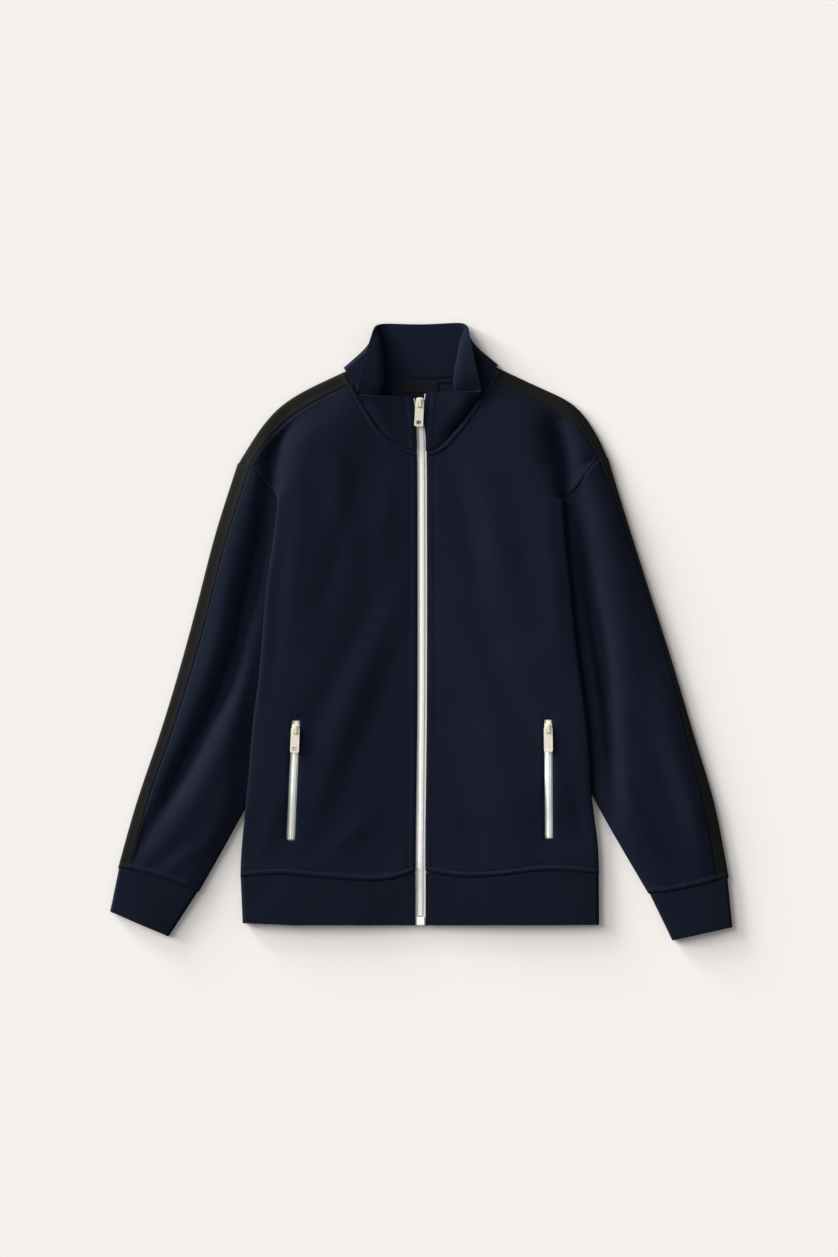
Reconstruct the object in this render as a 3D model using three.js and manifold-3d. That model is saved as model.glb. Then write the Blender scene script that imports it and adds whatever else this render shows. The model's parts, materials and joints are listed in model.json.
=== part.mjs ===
// A zip-through track jacket of sweatshirt knit, laid flat on its back with its sleeves down.
//
// Millimetres, +Z up. The jacket lies in the XY plane with its collar towards +Y, and z = 0 is
// the surface it lies on. Each side is worked out in (u, y), where u is the distance outwards
// from the centre line: the wearer's right side is x = -u and the left side is x = +u.
// The sides of the body lie over the inner part of the sleeves, which are tucked under them.

import * as THREE from 'three';
import Module from 'manifold-3d';

const { lerp, clamp, smoothstep, degToRad } = THREE.MathUtils;
const joinery = await Module();
joinery.setup();
const { Manifold, CrossSection } = joinery;

// ---------- driving sizes ----------

const CLOTH = 1.8;             // sweatshirt knit
const STRIPE_CLOTH = 1.6;      // the black tape let into the shoulders and sleeves
const RIB_CLOTH = 2.4;         // rib folded double: hem and cuffs
const COLLAR_CLOTH = 3;        // two layers of knit
const SEAM = 0.3;              // gap between pieces that are sewn together
const RIB_PITCH = 2.8;
const RIB_HEIGHT = 0.45;

const FLAT_FOLD = 3.6;         // radius of a folded edge that is pressed flat
const FLAT = 2 * FLAT_FOLD;    // height of two layers there
const BODY_ROLL = 4.2;         // radius of the body's side fold
const OVER_SLEEVE = 8.2;       // underside of the body where it lies on a sleeve
const ZIP_HEIGHT = 7;          // top of the cloth beside the main zip
const SLEEVE_LOFT = 9;         // how far a sleeve stands above two flat layers
const CUFF_LOFT = 2.2;         // how far a cuff does
const BODY_PUFF = 2.5;         // air under the middle of each front

const ZIP_HALF = 6.3;          // half the strip of zip that shows between the fronts
const CHAIN_HALF = 3.1;        // half the width of the closed teeth
const CHAIN_PROUD = 1.1;       // how far the teeth stand above their tape
const CHAIN_THICK = 2.6;
const TAPE = 1;                // zip tape
const HEM_END = -371.5;        // bottom edge of the rib
const NECK_LOW = 229;          // the neck seam where it meets the zip

// ---------- the lie of each side ----------

// fold: the rolled side of the body, from the hem up to where the armhole seam comes out.
// valley: the crease between body and sleeve head, from there up to the shoulder.
// armhole: the seam from the shoulder fold to the underarm, which is hidden under the body.
// shoulder: pairs of points, on the folded shoulder edge and on the front seam of its stripe.
// sleeve: stations from armhole to cuff, with both folded edges and the stripe's width.
// sleeveFree: between these heights the body comes down from the sleeve on to the floor.
// cuff: the end of the cuff; seamBow is how far the cuff seam curves towards the shoulder.
// hemSeam: the seam of front and hem; hemCornerLift is how far the hem's outer corner is higher.
// pocket: the slot's ends, the distance of its inner edge at each end, and its width.
// neckSeam: the front's neck edge, from the zip to the shoulder.
// collar: sections in the middle of its cloth from the zip round to the centre of the back, each
//   from the neck seam over the roll to the free edge, as [u, y, z]; turn is the roll's radius,
//   and before a point between seam and roll where the two aren't joined straight.
// bodyFolds, sleeveFolds: soft ridges and troughs along a bent line, from (fromU, fromY) by way
//   of (viaU, viaY) to (toU, toY).
const SIDES = {
  right: {
    sign: -1,
    corner: { u: 181, y: 172 },
    sleeveFree: { from: -275, to: -195 },
    fold: [
      { y: -370, u: 226 }, { y: -327, u: 227 }, { y: -302, u: 229 }, { y: -254, u: 225.5 },
      { y: -181, u: 218 }, { y: -105, u: 212 }, { y: -67, u: 206 }, { y: -10, u: 201 },
      { y: 66, u: 195 }, { y: 112, u: 187 }, { y: 172, u: 181 },
    ],
    valley: [
      { y: 172, u: 181 }, { y: 186, u: 187 }, { y: 200, u: 190 }, { y: 230, u: 188 },
      { y: 257, u: 184 }, { y: 285, u: 180 },
    ],
    armhole: [
      { u: 232, y: 213 }, { u: 224, y: 212.5 }, { u: 216, y: 211 }, { u: 205, y: 199 },
      { u: 194, y: 186 }, { u: 181, y: 172 }, { u: 150, y: 140 }, { u: 122, y: 110 },
      { u: 103, y: 88 },
    ],
    shoulder: [
      { edgeU: 231.5, edgeY: 214, seamU: 216, seamY: 211.5 },
      { edgeU: 219.4, edgeY: 233, seamU: 204.3, seamY: 229 },
      { edgeU: 206, edgeY: 254, seamU: 192, seamY: 246 },
      { edgeU: 197, edgeY: 266, seamU: 183, seamY: 255 },
      { edgeU: 184, edgeY: 281, seamU: 173, seamY: 265 },
      { edgeU: 169, edgeY: 293, seamU: 158, seamY: 277 },
      { edgeU: 150, edgeY: 305, seamU: 139, seamY: 289 },
      { edgeU: 123, edgeY: 318, seamU: 114, seamY: 302 },
      { edgeU: 95, edgeY: 331, seamU: 88, seamY: 314 },
    ],
    sleeve: [
      { outerU: 232, outerY: 213, innerU: 103, innerY: 88, stripe: 16 },
      { outerU: 260, outerY: 127, innerU: 124, innerY: 18, stripe: 14.5 },
      { outerU: 282, outerY: 41, innerU: 149, innerY: -54, stripe: 14 },
      { outerU: 305, outerY: -44, innerU: 179, innerY: -125, stripe: 13 },
      { outerU: 331, outerY: -130, innerU: 208, innerY: -196, stripe: 12 },
      { outerU: 360, outerY: -214, innerU: 243, innerY: -263, stripe: 11 },
      { outerU: 384, outerY: -299, innerU: 281, innerY: -330, stripe: 15 },
    ],
    cuff: { outerU: 394, outerY: -354, innerU: 319, innerY: -386, seamBow: 4 },
    hemSeam: [
      { u: 6, y: -304 }, { u: 20, y: -308 }, { u: 34, y: -314 }, { u: 57, y: -317 },
      { u: 96, y: -314 }, { u: 128, y: -312 }, { u: 165, y: -307.5 }, { u: 204, y: -308 },
      { u: 229, y: -311 },
    ],
    hemCornerLift: 2.5,
    pocket: { top: -111, bottom: -264, topU: 152, bottomU: 159, width: 11 },
    neckSeam: [
      { y: 229, u: 7 }, { y: 234, u: 23 }, { y: 244, u: 39 }, { y: 260, u: 54 },
      { y: 280, u: 69 }, { y: 297, u: 78 }, { y: 314, u: 85 },
    ],
    collar: [
      { seam: [5.3, 229.6, 6.7], roll: [6.5, 263, 9.5], edge: [10, 297, 12], turn: 0 },
      { seam: [22.3, 235, 7.2], roll: [25, 265, 11], edge: [27, 297.5, 13.5], turn: 0 },
      { seam: [38, 245, 7.8], roll: [41, 271, 13], edge: [44, 298, 15.5], turn: 0 },
      { seam: [53, 261, 8], roll: [56, 279, 15.5], edge: [61, 298, 19], turn: 0 },
      { seam: [68, 281, 8], roll: [72, 290, 13], edge: [78.5, 299, 17], turn: 0 },
      { seam: [72.5, 289, 7.8], roll: [60, 293, 8.5], edge: [79, 307, 15.5], turn: 2.6 },
      { seam: [77, 297.5, 7.6], roll: [48, 301, 10.5], edge: [77, 314, 18], turn: 4 },
      { seam: [83.6, 313.5, 7.3], roll: [46, 318, 13.5], edge: [73.5, 327, 19.5], turn: 4.5 },
      { seam: [90.7, 324, 7], roll: [46.5, 339, 13.5], edge: [70.5, 342, 19.5], turn: 4.5 },
      { seam: [93.2, 330, 6.8], roll: [49, 358, 13], edge: [67, 357, 18], turn: 4 },
      { seam: [93.6, 331.2, 6.7], roll: [50.4, 369, 12], edge: [62.6, 370, 16.2], turn: 3.4 },
      {
        seam: [94, 332, 6.5], before: [65.4, 356.8, 8.2],
        roll: [53.5, 377, 9.8], edge: [59, 381.5, 12.5], turn: 0,
      },
      {
        seam: [94.4, 333, 6], before: [66.6, 358.5, 6.6],
        roll: [56.8, 374.6, 7.3], edge: [56.8, 385.8, 9], turn: 0,
      },
      {
        seam: [95.8, 335, 3.9], before: [68.3, 360.2, 3.9],
        roll: [58.6, 376, 4.4], edge: [53.6, 388.4, 5.4], turn: 0,
      },
      {
        seam: [93.6, 332, 1.5], before: [66.6, 358.7, 1.5],
        roll: [56.6, 374.8, 1.6], edge: [49, 389.9, 2.6], turn: 0,
      },
      { seam: [90.5, 323, 1.5], roll: [57, 366, 1.5], edge: [43, 390.4, 1.5], turn: 0 },
      { seam: [82, 317.3, 1.5], roll: [55, 357, 1.5], edge: [37, 390.2, 1.5], turn: 0 },
      { seam: [62, 321.5, 1.5], roll: [46, 355, 1.5], edge: [30, 390, 1.5], turn: 0 },
      { seam: [40, 323.6, 1.5], roll: [31, 356, 1.5], edge: [21, 389.6, 1.5], turn: 0 },
      { seam: [20, 322, 1.5], roll: [16, 355, 1.5], edge: [10.5, 389.4, 1.5], turn: 0 },
    ],
    bodyFolds: [
      { fromU: 17, fromY: 46, viaU: 84, viaY: -94, toU: 152, toY: -273, width: 26, height: 3.5 },
      { fromU: 62, fromY: 40, viaU: 124, viaY: -90, toU: 186, toY: -230, width: 24, height: -2.5 },
      { fromU: 187, fromY: -180, viaU: 200, viaY: -235, toU: 212, toY: -282, width: 14, height: -4 },
      { fromU: 107, fromY: 215, viaU: 130, viaY: 150, toU: 156, toY: 80, width: 24, height: -3.5 },
      { fromU: 76, fromY: 225, viaU: 66, viaY: 160, toU: 60, toY: 85, width: 20, height: 2.5 },
    ],
    sleeveFolds: [
      { fromU: 198, fromY: 160, viaU: 225, viaY: 30, toU: 248, toY: -72, width: 24, height: -6 },
      { fromU: 240, fromY: -50, viaU: 300, viaY: -158, toU: 366, toY: -290, width: 26, height: -7 },
    ],
  },
  left: {
    sign: 1,
    corner: { u: 181, y: 167 },
    sleeveFree: { from: -255, to: -175 },
    fold: [
      { y: -370, u: 227 }, { y: -338, u: 225 }, { y: -321, u: 224 }, { y: -304, u: 227 },
      { y: -254, u: 224 }, { y: -216, u: 218 }, { y: -162, u: 215 }, { y: -109, u: 211 },
      { y: -67, u: 205 }, { y: -10, u: 197 }, { y: 66, u: 190 }, { y: 120, u: 184 },
      { y: 167, u: 181 },
    ],
    valley: [
      { y: 167, u: 181 }, { y: 180, u: 185 }, { y: 193, u: 187 }, { y: 234, u: 184 },
      { y: 263, u: 177 }, { y: 290, u: 172 },
    ],
    armhole: [
      { u: 238, y: 220 }, { u: 231, y: 220.5 }, { u: 225, y: 219.5 }, { u: 214, y: 208 },
      { u: 204, y: 194 }, { u: 195, y: 182 }, { u: 181, y: 167 }, { u: 146, y: 130 },
      { u: 112, y: 92 },
    ],
    shoulder: [
      { edgeU: 237.5, edgeY: 221, seamU: 225, seamY: 220 },
      { edgeU: 231, edgeY: 236, seamU: 218, seamY: 233 },
      { edgeU: 222, edgeY: 253, seamU: 209, seamY: 248 },
      { edgeU: 209, edgeY: 274, seamU: 198, seamY: 263 },
      { edgeU: 194, edgeY: 289, seamU: 185, seamY: 274 },
      { edgeU: 177, edgeY: 299, seamU: 168, seamY: 283 },
      { edgeU: 152, edgeY: 310, seamU: 143, seamY: 294 },
      { edgeU: 126, edgeY: 322, seamU: 117, seamY: 307 },
      { edgeU: 97, edgeY: 336, seamU: 91, seamY: 318 },
    ],
    sleeve: [
      { outerU: 238, outerY: 220, innerU: 112, innerY: 92, stripe: 13 },
      { outerU: 265, outerY: 133, innerU: 135, innerY: 18, stripe: 12.5 },
      { outerU: 293, outerY: 45, innerU: 159, innerY: -54, stripe: 11.5 },
      { outerU: 321, outerY: -42, innerU: 186, innerY: -126, stripe: 11.5 },
      { outerU: 347, outerY: -131, innerU: 213, innerY: -198, stripe: 13 },
      { outerU: 374, outerY: -219, innerU: 250, innerY: -266, stripe: 15 },
      { outerU: 391, outerY: -311, innerU: 289, innerY: -332, stripe: 15 },
    ],
    cuff: { outerU: 396, outerY: -374, innerU: 319, innerY: -391, seamBow: -3 },
    hemSeam: [
      { u: 6, y: -304 }, { u: 16, y: -306 }, { u: 37, y: -310 }, { u: 72, y: -311.5 },
      { u: 114, y: -308 }, { u: 150, y: -303 }, { u: 184, y: -303 }, { u: 206, y: -304 },
      { u: 227, y: -308 },
    ],
    hemCornerLift: 0.5,
    pocket: { top: -110, bottom: -262, topU: 156, bottomU: 157.5, width: 10.5 },
    neckSeam: [
      { y: 229, u: 7 }, { y: 233, u: 22 }, { y: 246, u: 36 }, { y: 263, u: 51 },
      { y: 284, u: 66 }, { y: 302, u: 77 }, { y: 318, u: 87.5 },
    ],
    collar: [
      { seam: [7.4, 229.6, 6.7], roll: [8.4, 265, 9.5], edge: [13, 303, 12], turn: 0 },
      { seam: [21.5, 233.7, 7.2], roll: [25, 267, 11], edge: [28, 303, 13.5], turn: 0 },
      { seam: [35.2, 247, 7.8], roll: [39, 274, 13], edge: [43, 303, 15.5], turn: 0 },
      { seam: [50, 264, 8], roll: [54, 283, 15.5], edge: [59, 303, 19], turn: 0 },
      { seam: [65, 285, 8], roll: [69, 294, 13], edge: [75.5, 303, 17], turn: 0 },
      { seam: [70, 292.5, 7.8], roll: [55, 297.5, 8], edge: [75.5, 311, 14.6], turn: 2.6 },
      { seam: [76, 302, 7.6], roll: [40.5, 306, 10.5], edge: [73.5, 318, 18], turn: 4 },
      { seam: [84.4, 315.5, 7.3], roll: [41, 322, 13.5], edge: [70, 331, 19.5], turn: 4.5 },
      { seam: [92.6, 327, 7], roll: [44.8, 342, 13.5], edge: [66.8, 346, 19.5], turn: 4.5 },
      { seam: [94.6, 333, 6.8], roll: [48.8, 360, 13], edge: [64, 360, 18], turn: 4 },
      { seam: [94.8, 335, 6.7], roll: [51, 371, 12], edge: [61.6, 372, 16.2], turn: 3.2 },
      {
        seam: [95.1, 335.6, 6.5], before: [66.6, 358.8, 8.2],
        roll: [54.5, 379, 9.8], edge: [59.4, 383, 12.5], turn: 0,
      },
      {
        seam: [95.5, 336.5, 6], before: [67.7, 360.6, 6.6],
        roll: [57, 377, 7.3], edge: [58, 387, 9], turn: 0,
      },
      {
        seam: [96.8, 338.6, 3.9], before: [69.4, 362.3, 3.9],
        roll: [58.8, 378.4, 4.4], edge: [55.2, 389.6, 5.4], turn: 0,
      },
      {
        seam: [94.6, 335.5, 1.5], before: [67.7, 360.8, 1.5],
        roll: [56.8, 377.2, 1.6], edge: [51, 391, 2.6], turn: 0,
      },
      { seam: [92.4, 327, 1.5], roll: [60, 366, 1.5], edge: [46, 391.3, 1.5], turn: 0 },
      { seam: [84, 321, 1.5], roll: [57, 358, 1.5], edge: [39.5, 391, 1.5], turn: 0 },
      { seam: [62, 323.4, 1.5], roll: [46, 356, 1.5], edge: [31, 390.6, 1.5], turn: 0 },
      { seam: [40, 323.6, 1.5], roll: [31, 356, 1.5], edge: [21, 390, 1.5], turn: 0 },
      { seam: [20, 322, 1.5], roll: [16, 355, 1.5], edge: [10.5, 389.5, 1.5], turn: 0 },
    ],
    bodyFolds: [
      { fromU: 50, fromY: 220, viaU: 66, viaY: 155, toU: 84, toY: 90, width: 22, height: -2 },
      { fromU: 30, fromY: 60, viaU: 96, viaY: -60, toU: 150, toY: -230, width: 30, height: 2 },
      { fromU: 120, fromY: 200, viaU: 138, viaY: 110, toU: 150, toY: 20, width: 24, height: -2 },
    ],
    sleeveFolds: [
      { fromU: 205, fromY: 90, viaU: 222, viaY: -30, toU: 236, toY: -170, width: 22, height: -3 },
      { fromU: 270, fromY: 60, viaU: 286, viaY: -90, toU: 330, toY: -230, width: 20, height: -2.5 },
    ],
  },
};

// ---------- curves and heights ----------

// A smooth curve value(key) through the rows of a table whose keys rise.
function through(rows, key, value) {
  const slopeAt = (i) => {
    const before = rows[Math.max(i - 1, 0)];
    const after = rows[Math.min(i + 1, rows.length - 1)];
    return (after[value] - before[value]) / (after[key] - before[key]);
  };
  return (x) => {
    let i = 0;
    while (i < rows.length - 2 && x > rows[i + 1][key]) i += 1;
    const span = rows[i + 1][key] - rows[i][key];
    const t = clamp((x - rows[i][key]) / span, 0, 1);
    const [a, b] = [rows[i][value], rows[i + 1][value]];
    const [ma, mb] = [slopeAt(i) * span, slopeAt(i + 1) * span];
    return a + t * (ma + t * (3 * (b - a) - 2 * ma - mb + t * (2 * (a - b) + ma + mb)));
  };
}

// u at height y on a line of straight stretches between points.
function alongLine(points, y) {
  const sorted = [...points].sort((a, b) => a.y - b.y);
  let i = 0;
  while (i < sorted.length - 2 && y > sorted[i + 1].y) i += 1;
  const [a, b] = [sorted[i], sorted[i + 1]];
  return lerp(a.u, b.u, clamp((y - a.y) / (b.y - a.y), 0, 1));
}

// The soft folds of a table: each is a ridge or trough along a bent line, dying out at its ends.
function foldHeight(folds, u, y) {
  let height = 0;
  for (const fold of folds) {
    const steps = 12;
    let nearest = Infinity;
    let place = 0;
    for (let i = 0; i <= steps; i += 1) {
      const t = i / steps;
      const cu = (1 - t) ** 2 * fold.fromU + 2 * t * (1 - t) * fold.viaU + t * t * fold.toU;
      const cy = (1 - t) ** 2 * fold.fromY + 2 * t * (1 - t) * fold.viaY + t * t * fold.toY;
      const distance = Math.hypot(u - cu, y - cy);
      if (distance < nearest) {
        nearest = distance;
        place = t;
      }
    }
    const across = Math.exp(-((nearest / fold.width) ** 2) * 1.6);
    height += fold.height * across * Math.sin(Math.PI * clamp(0.12 + 0.76 * place, 0, 1));
  }
  return height;
}

for (const side of Object.values(SIDES)) {
  side.foldU = through(side.fold, 'y', 'u');
  side.valleyU = through(side.valley, 'y', 'u');
  side.neckU = through(side.neckSeam, 'y', 'u');
  side.hemSeamY = through(side.hemSeam, 'u', 'y');
  for (const key of ['outerU', 'outerY', 'innerU', 'innerY', 'stripe']) {
    const last = side.sleeve.length - 1;
    const stations = side.sleeve.map((station, i) => ({ f: i / last, value: station[key] }));
    side[key] = through(stations, 'f', 'value');
  }
  const outline = [...side.sleeve].reverse().map((row) => ({ y: row.outerY, u: row.outerU }));
  outline.push(...side.shoulder.slice(1).map((row) => ({ y: row.edgeY, u: row.edgeU })));
  side.outlineU = through(outline, 'y', 'u');
  const inner = [...side.sleeve].reverse().map((row) => ({ y: row.innerY, u: row.innerU }));
  side.innerEdgeU = through(inner, 'y', 'u');
}

// The main zip wanders a little from the centre line.
const zipLine = through([
  { y: -372, x: 0 }, { y: -266, x: 0 }, { y: -188, x: 1 }, { y: -86, x: 2 }, { y: 168, x: 2 },
  { y: 254, x: 1 }, { y: 300, x: -1.5 },
], 'y', 'x');
const zipEdgeU = (side, y) => ZIP_HALF + side.sign * zipLine(y);

// Where the sleeve stops showing: at the valley, at the body's fold or at its own inner edge.
function sleeveLimitU(side, y) {
  if (y > side.corner.y) return side.valleyU(y);
  return Math.max(side.foldU(y), side.innerEdgeU(y));
}

// Top of the sleeve, and of the part of the front that runs out over the sleeve head.
function sleeveTop(side, u, y) {
  const fromOutline = 0.85 * (side.outlineU(y) - u);
  const fromLimit = u - sleeveLimitU(side, y);
  const cuffSeam = side.sleeve[side.sleeve.length - 1].outerY;
  const fromCuff = smoothstep(y, cuffSeam - 20, cuffSeam + 90);
  const loft = lerp(CUFF_LOFT, SLEEVE_LOFT, fromCuff);
  const rise = smoothstep(fromOutline, 2, 30) * smoothstep(fromLimit, 1, 24);
  const folds = foldHeight(side.sleeveFolds, u, y) * fromCuff;
  return FLAT + Math.max(0, (loft + folds) * rise);
}

// Underside of the body's side: on the sleeve, and down on the floor below the sleeve.
const underSide = (side, y) => OVER_SLEEVE * smoothstep(y, side.sleeveFree.from, side.sleeveFree.to);

// Top of the body.
function bodyTop(side, u, y) {
  const sideU = y > side.corner.y ? side.valleyU(y) - 8 : side.foldU(y) - BODY_ROLL;
  const across = clamp((u - ZIP_HALF) / (sideU - ZIP_HALF), 0, 1);
  const sideTop = underSide(side, Math.min(y, side.corner.y)) + 2 * BODY_ROLL;
  const slope = lerp(ZIP_HEIGHT, sideTop, smoothstep(across, 0.1, 0.95));
  const arch = slope + BODY_PUFF * Math.sin(Math.PI * across);
  const atEnds = smoothstep(across, 0, 0.15) * smoothstep(across, 1, 0.9);
  const body = arch + foldHeight(side.bodyFolds, u, y) * atEnds;
  const outline = side.shoulder.map((row) => ({ u: row.edgeY, y: row.edgeU }));
  const fromShoulder = 0.88 * (alongLine(outline, u) - y);
  return FLAT + (body - FLAT) * smoothstep(fromShoulder, 2, 60);
}

// How far in from the valley the body begins to fall towards it: soon at the underarm, and more
// softly towards the shoulder.
const valleySlope = (side, y) => lerp(12, 38, smoothstep(y, side.corner.y, side.corner.y + 50));

// Top of everything that belongs to the front: the body and, past the valley, the sleeve head.
function frontTop(side, u, y) {
  if (y <= side.corner.y) return bodyTop(side, u, y);
  const valley = side.valleyU(y);
  const pastSlope = smoothstep(u, valley - valleySlope(side, y), valley);
  return lerp(bodyTop(side, u, y), sleeveTop(side, u, y), pastSlope);
}

// ---------- walls of cloth ----------

// The inner points of a profile: each moved in by the wall, to the right of the line's direction.
// A point may carry its own direction in `normal`; the others use the line's.
function lining(profile, thickness) {
  return profile.map((point, i) => {
    let direction = point.normal;
    if (!direction) {
      const before = profile[Math.max(i - 1, 0)];
      const after = profile[Math.min(i + 1, profile.length - 1)];
      const length = Math.hypot(after.t - before.t, after.z - before.z);
      direction = { t: (after.z - before.z) / length, z: -(after.t - before.t) / length };
    }
    return { t: point.t + direction.t * thickness, z: point.z + direction.z * thickness };
  });
}

const DOWN = { t: 0, z: -1 };
const UP = { t: 0, z: 1 };

// Part of a round fold: points on a circle, from one angle to another, in degrees.
function roundFold(centreT, centreZ, radius, from, to, steps) {
  const points = [];
  for (let i = 0; i <= steps; i += 1) {
    const angle = degToRad(lerp(from, to, i / steps));
    const [c, s] = [Math.cos(angle), Math.sin(angle)];
    points.push({ t: centreT + radius * c, z: centreZ + radius * s, normal: { t: -c, z: -s } });
  }
  return points;
}

// A closed wall between two grids of points, outer[row][column] and inner[row][column].
// closed: the last column joins the first, as on a cuff.
// kept: the columns that the inner grid has, where it is coarser than the outer one.
// slot: a block of cells that is left open, { row0, row1, column0, column1 }.
function clothWall(outer, inner, { closed = false, kept = null, slot = null } = {}) {
  const rows = outer.length;
  const columns = outer[0].length;
  const innerColumns = kept ?? outer[0].map((_, j) => j);
  const positions = [...outer, ...inner.map((row) => innerColumns.map((j) => row[j]))].flat();
  const places = new Map(innerColumns.map((j, k) => [j, k]));
  const O = (i, j) => i * columns + (j % columns);
  const I = (i, j) => rows * columns + i * innerColumns.length + places.get(j % columns);
  const faces = [];
  const quad = (a, b, c, d) => faces.push([a, b, c], [a, c, d]);
  const inSlot = (i, j) => slot && i >= slot.row0 && i < slot.row1 && j >= slot.column0 && j < slot.column1;
  const lastColumn = closed ? columns : columns - 1;
  const stretches = innerColumns.map((j, k) => [j, innerColumns[k + 1] ?? (closed ? columns : null)])
    .filter(([, next]) => next !== null);

  for (let i = 0; i < rows - 1; i += 1) {
    for (let j = 0; j < lastColumn; j += 1) {
      if (!inSlot(i, j)) quad(O(i, j), O(i, j + 1), O(i + 1, j + 1), O(i + 1, j));
    }
    for (const [a, b] of stretches) {
      if (!inSlot(i, a)) quad(I(i, a), I(i + 1, a), I(i + 1, b), I(i, b));
    }
  }
  // the two end edges, a fan on each stretch of the inner grid
  for (const [i, turn] of [[0, true], [rows - 1, false]]) {
    const face = (a, b, c) => faces.push(turn ? [b, a, c] : [a, b, c]);
    for (const [a, b] of stretches) {
      const middle = Math.ceil((a + b) / 2);
      for (let j = a; j < b; j += 1) face(O(i, j), O(i, j + 1), I(i, j < middle ? a : b));
      face(O(i, middle), I(i, b), I(i, a));
    }
  }
  const sideWall = (j, i0, i1, turn) => {
    for (let i = i0; i < i1; i += 1) {
      const ring = [O(i, j), O(i + 1, j), I(i + 1, j), I(i, j)];
      quad(...(turn ? ring.reverse() : ring));
    }
  };
  if (!closed) {
    sideWall(0, 0, rows - 1, false);
    sideWall(columns - 1, 0, rows - 1, true);
  }
  if (slot) {
    sideWall(slot.column0, slot.row0, slot.row1, true);
    sideWall(slot.column1, slot.row0, slot.row1, false);
    for (let j = slot.column0; j < slot.column1; j += 1) {
      quad(O(slot.row0, j), O(slot.row0, j + 1), I(slot.row0, j + 1), I(slot.row0, j));
      quad(O(slot.row1, j + 1), O(slot.row1, j), I(slot.row1, j), I(slot.row1, j + 1));
    }
  }
  return solid(positions, faces);
}

// A geometry from points and faces, with its faces turned outwards.
function solid(points, faces) {
  let volume = 0;
  for (const [a, b, c] of faces) {
    volume += points[a].dot(new THREE.Vector3().crossVectors(points[b], points[c]));
  }
  const index = faces.flatMap(([a, b, c]) => (volume > 0 ? [a, b, c] : [a, c, b]));
  const geometry = new THREE.BufferGeometry().setFromPoints(points);
  geometry.setIndex(index);
  geometry.computeVertexNormals();
  return geometry;
}

// ---------- sleeves ----------

const SLEEVE_ROWS = 14;
const SLEEVE_TOP_COLUMNS = 13;
const SLEEVE_UNDER_COLUMNS = 5;

// A ring across the sleeve at fraction f of its length: width, and the place of each point.
// The first ring follows the curved armhole seam and the last one the curved cuff seam.
function sleeveRing(side, f) {
  const outer = new THREE.Vector2(side.outerU(f), side.outerY(f));
  const inner = new THREE.Vector2(side.innerU(f), side.innerY(f));
  const armhole = side.armhole.map((point) => new THREE.Vector2(point.u, point.y));
  const seam = new THREE.SplineCurve(armhole);
  const along = new THREE.Vector2(outer.y - inner.y, inner.x - outer.x).normalize();
  const place = (q) => {
    const straight = outer.clone().lerp(inner, q);
    const start = armhole[0].clone().lerp(armhole[armhole.length - 1], q);
    const bow = seam.getPointAt(clamp(q, 0, 1)).sub(start);
    straight.addScaledVector(bow, clamp(1 - f / 0.35, 0, 1) ** 2);
    const cuffBow = side.cuff.seamBow * 4 * q * (1 - q) * smoothstep(f, 0.8, 1);
    return straight.addScaledVector(along, cuffBow * Math.sign(along.y));
  };
  return { width: outer.distanceTo(inner), place };
}

// Points in space for a profile across a ring.
function onRing(side, ring, profile) {
  return profile.map(({ t, z }) => {
    const at = ring.place(t / ring.width);
    return new THREE.Vector3(side.sign * at.x, at.y, z);
  });
}

const ringTop = (side, ring, t) => {
  const at = ring.place(t / ring.width);
  return sleeveTop(side, at.x, at.y);
};

// Evenly spaced values from one number to another.
const evenly = (from, to, steps) => Array.from({ length: steps + 1 }, (_, i) => lerp(from, to, i / steps));

// Distances from the outer fold of the panel's columns: on top, and back underneath.
const panelColumns = (side, f, width) => evenly(side.stripe(f), width - FLAT_FOLD, SLEEVE_TOP_COLUMNS);
const underColumns = (side, f, width) => evenly(width - FLAT_FOLD, side.stripe(f), SLEEVE_UNDER_COLUMNS);

function sleeveFractions(side) {
  const length = side.sleeve[0].outerY - side.sleeve[side.sleeve.length - 1].outerY;
  const gap = SEAM / length;
  return evenly(gap, 1 - gap, SLEEVE_ROWS - 1);
}

// The sleeve's own panel: a C that runs from the stripe over the arm, round the inner edge and
// back underneath to the stripe.
function sleevePanel(side) {
  const outer = [];
  const inner = [];
  for (const f of sleeveFractions(side)) {
    const ring = sleeveRing(side, f);
    const top = panelColumns(side, f, ring.width).map((t) => ({ t, z: ringTop(side, ring, t) }));
    const fold = roundFold(ring.width - FLAT_FOLD, FLAT_FOLD, FLAT_FOLD, 90, -90, 4).slice(1, -1);
    const under = underColumns(side, f, ring.width).map((t) => ({ t, z: 0, normal: UP }));
    top[0] = { ...top[0], t: top[0].t + SEAM, normal: DOWN };
    under[under.length - 1].t += SEAM;
    const profile = [...top, ...fold, ...under];
    outer.push(onRing(side, ring, profile));
    inner.push(onRing(side, ring, lining(profile, CLOTH)));
  }
  return clothWall(outer, inner);
}

// The black stripe along the outer fold, from its seam underneath round to its seam on top.
function sleeveStripe(side) {
  const outer = [];
  const inner = [];
  for (const f of sleeveFractions(side)) {
    const ring = sleeveRing(side, f);
    const width = side.stripe(f);
    const middle = (width + FLAT_FOLD) / 2;
    const profile = [
      { t: width, z: 0, normal: UP },
      ...roundFold(FLAT_FOLD, FLAT_FOLD, FLAT_FOLD, 270, 90, 5),
      { t: middle, z: ringTop(side, ring, middle) },
      { t: width, z: ringTop(side, ring, width), normal: DOWN },
    ];
    outer.push(onRing(side, ring, profile));
    inner.push(onRing(side, ring, lining(profile, STRIPE_CLOTH)));
  }
  return clothWall(outer, inner);
}

// ---------- shoulder stripes ----------

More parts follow.
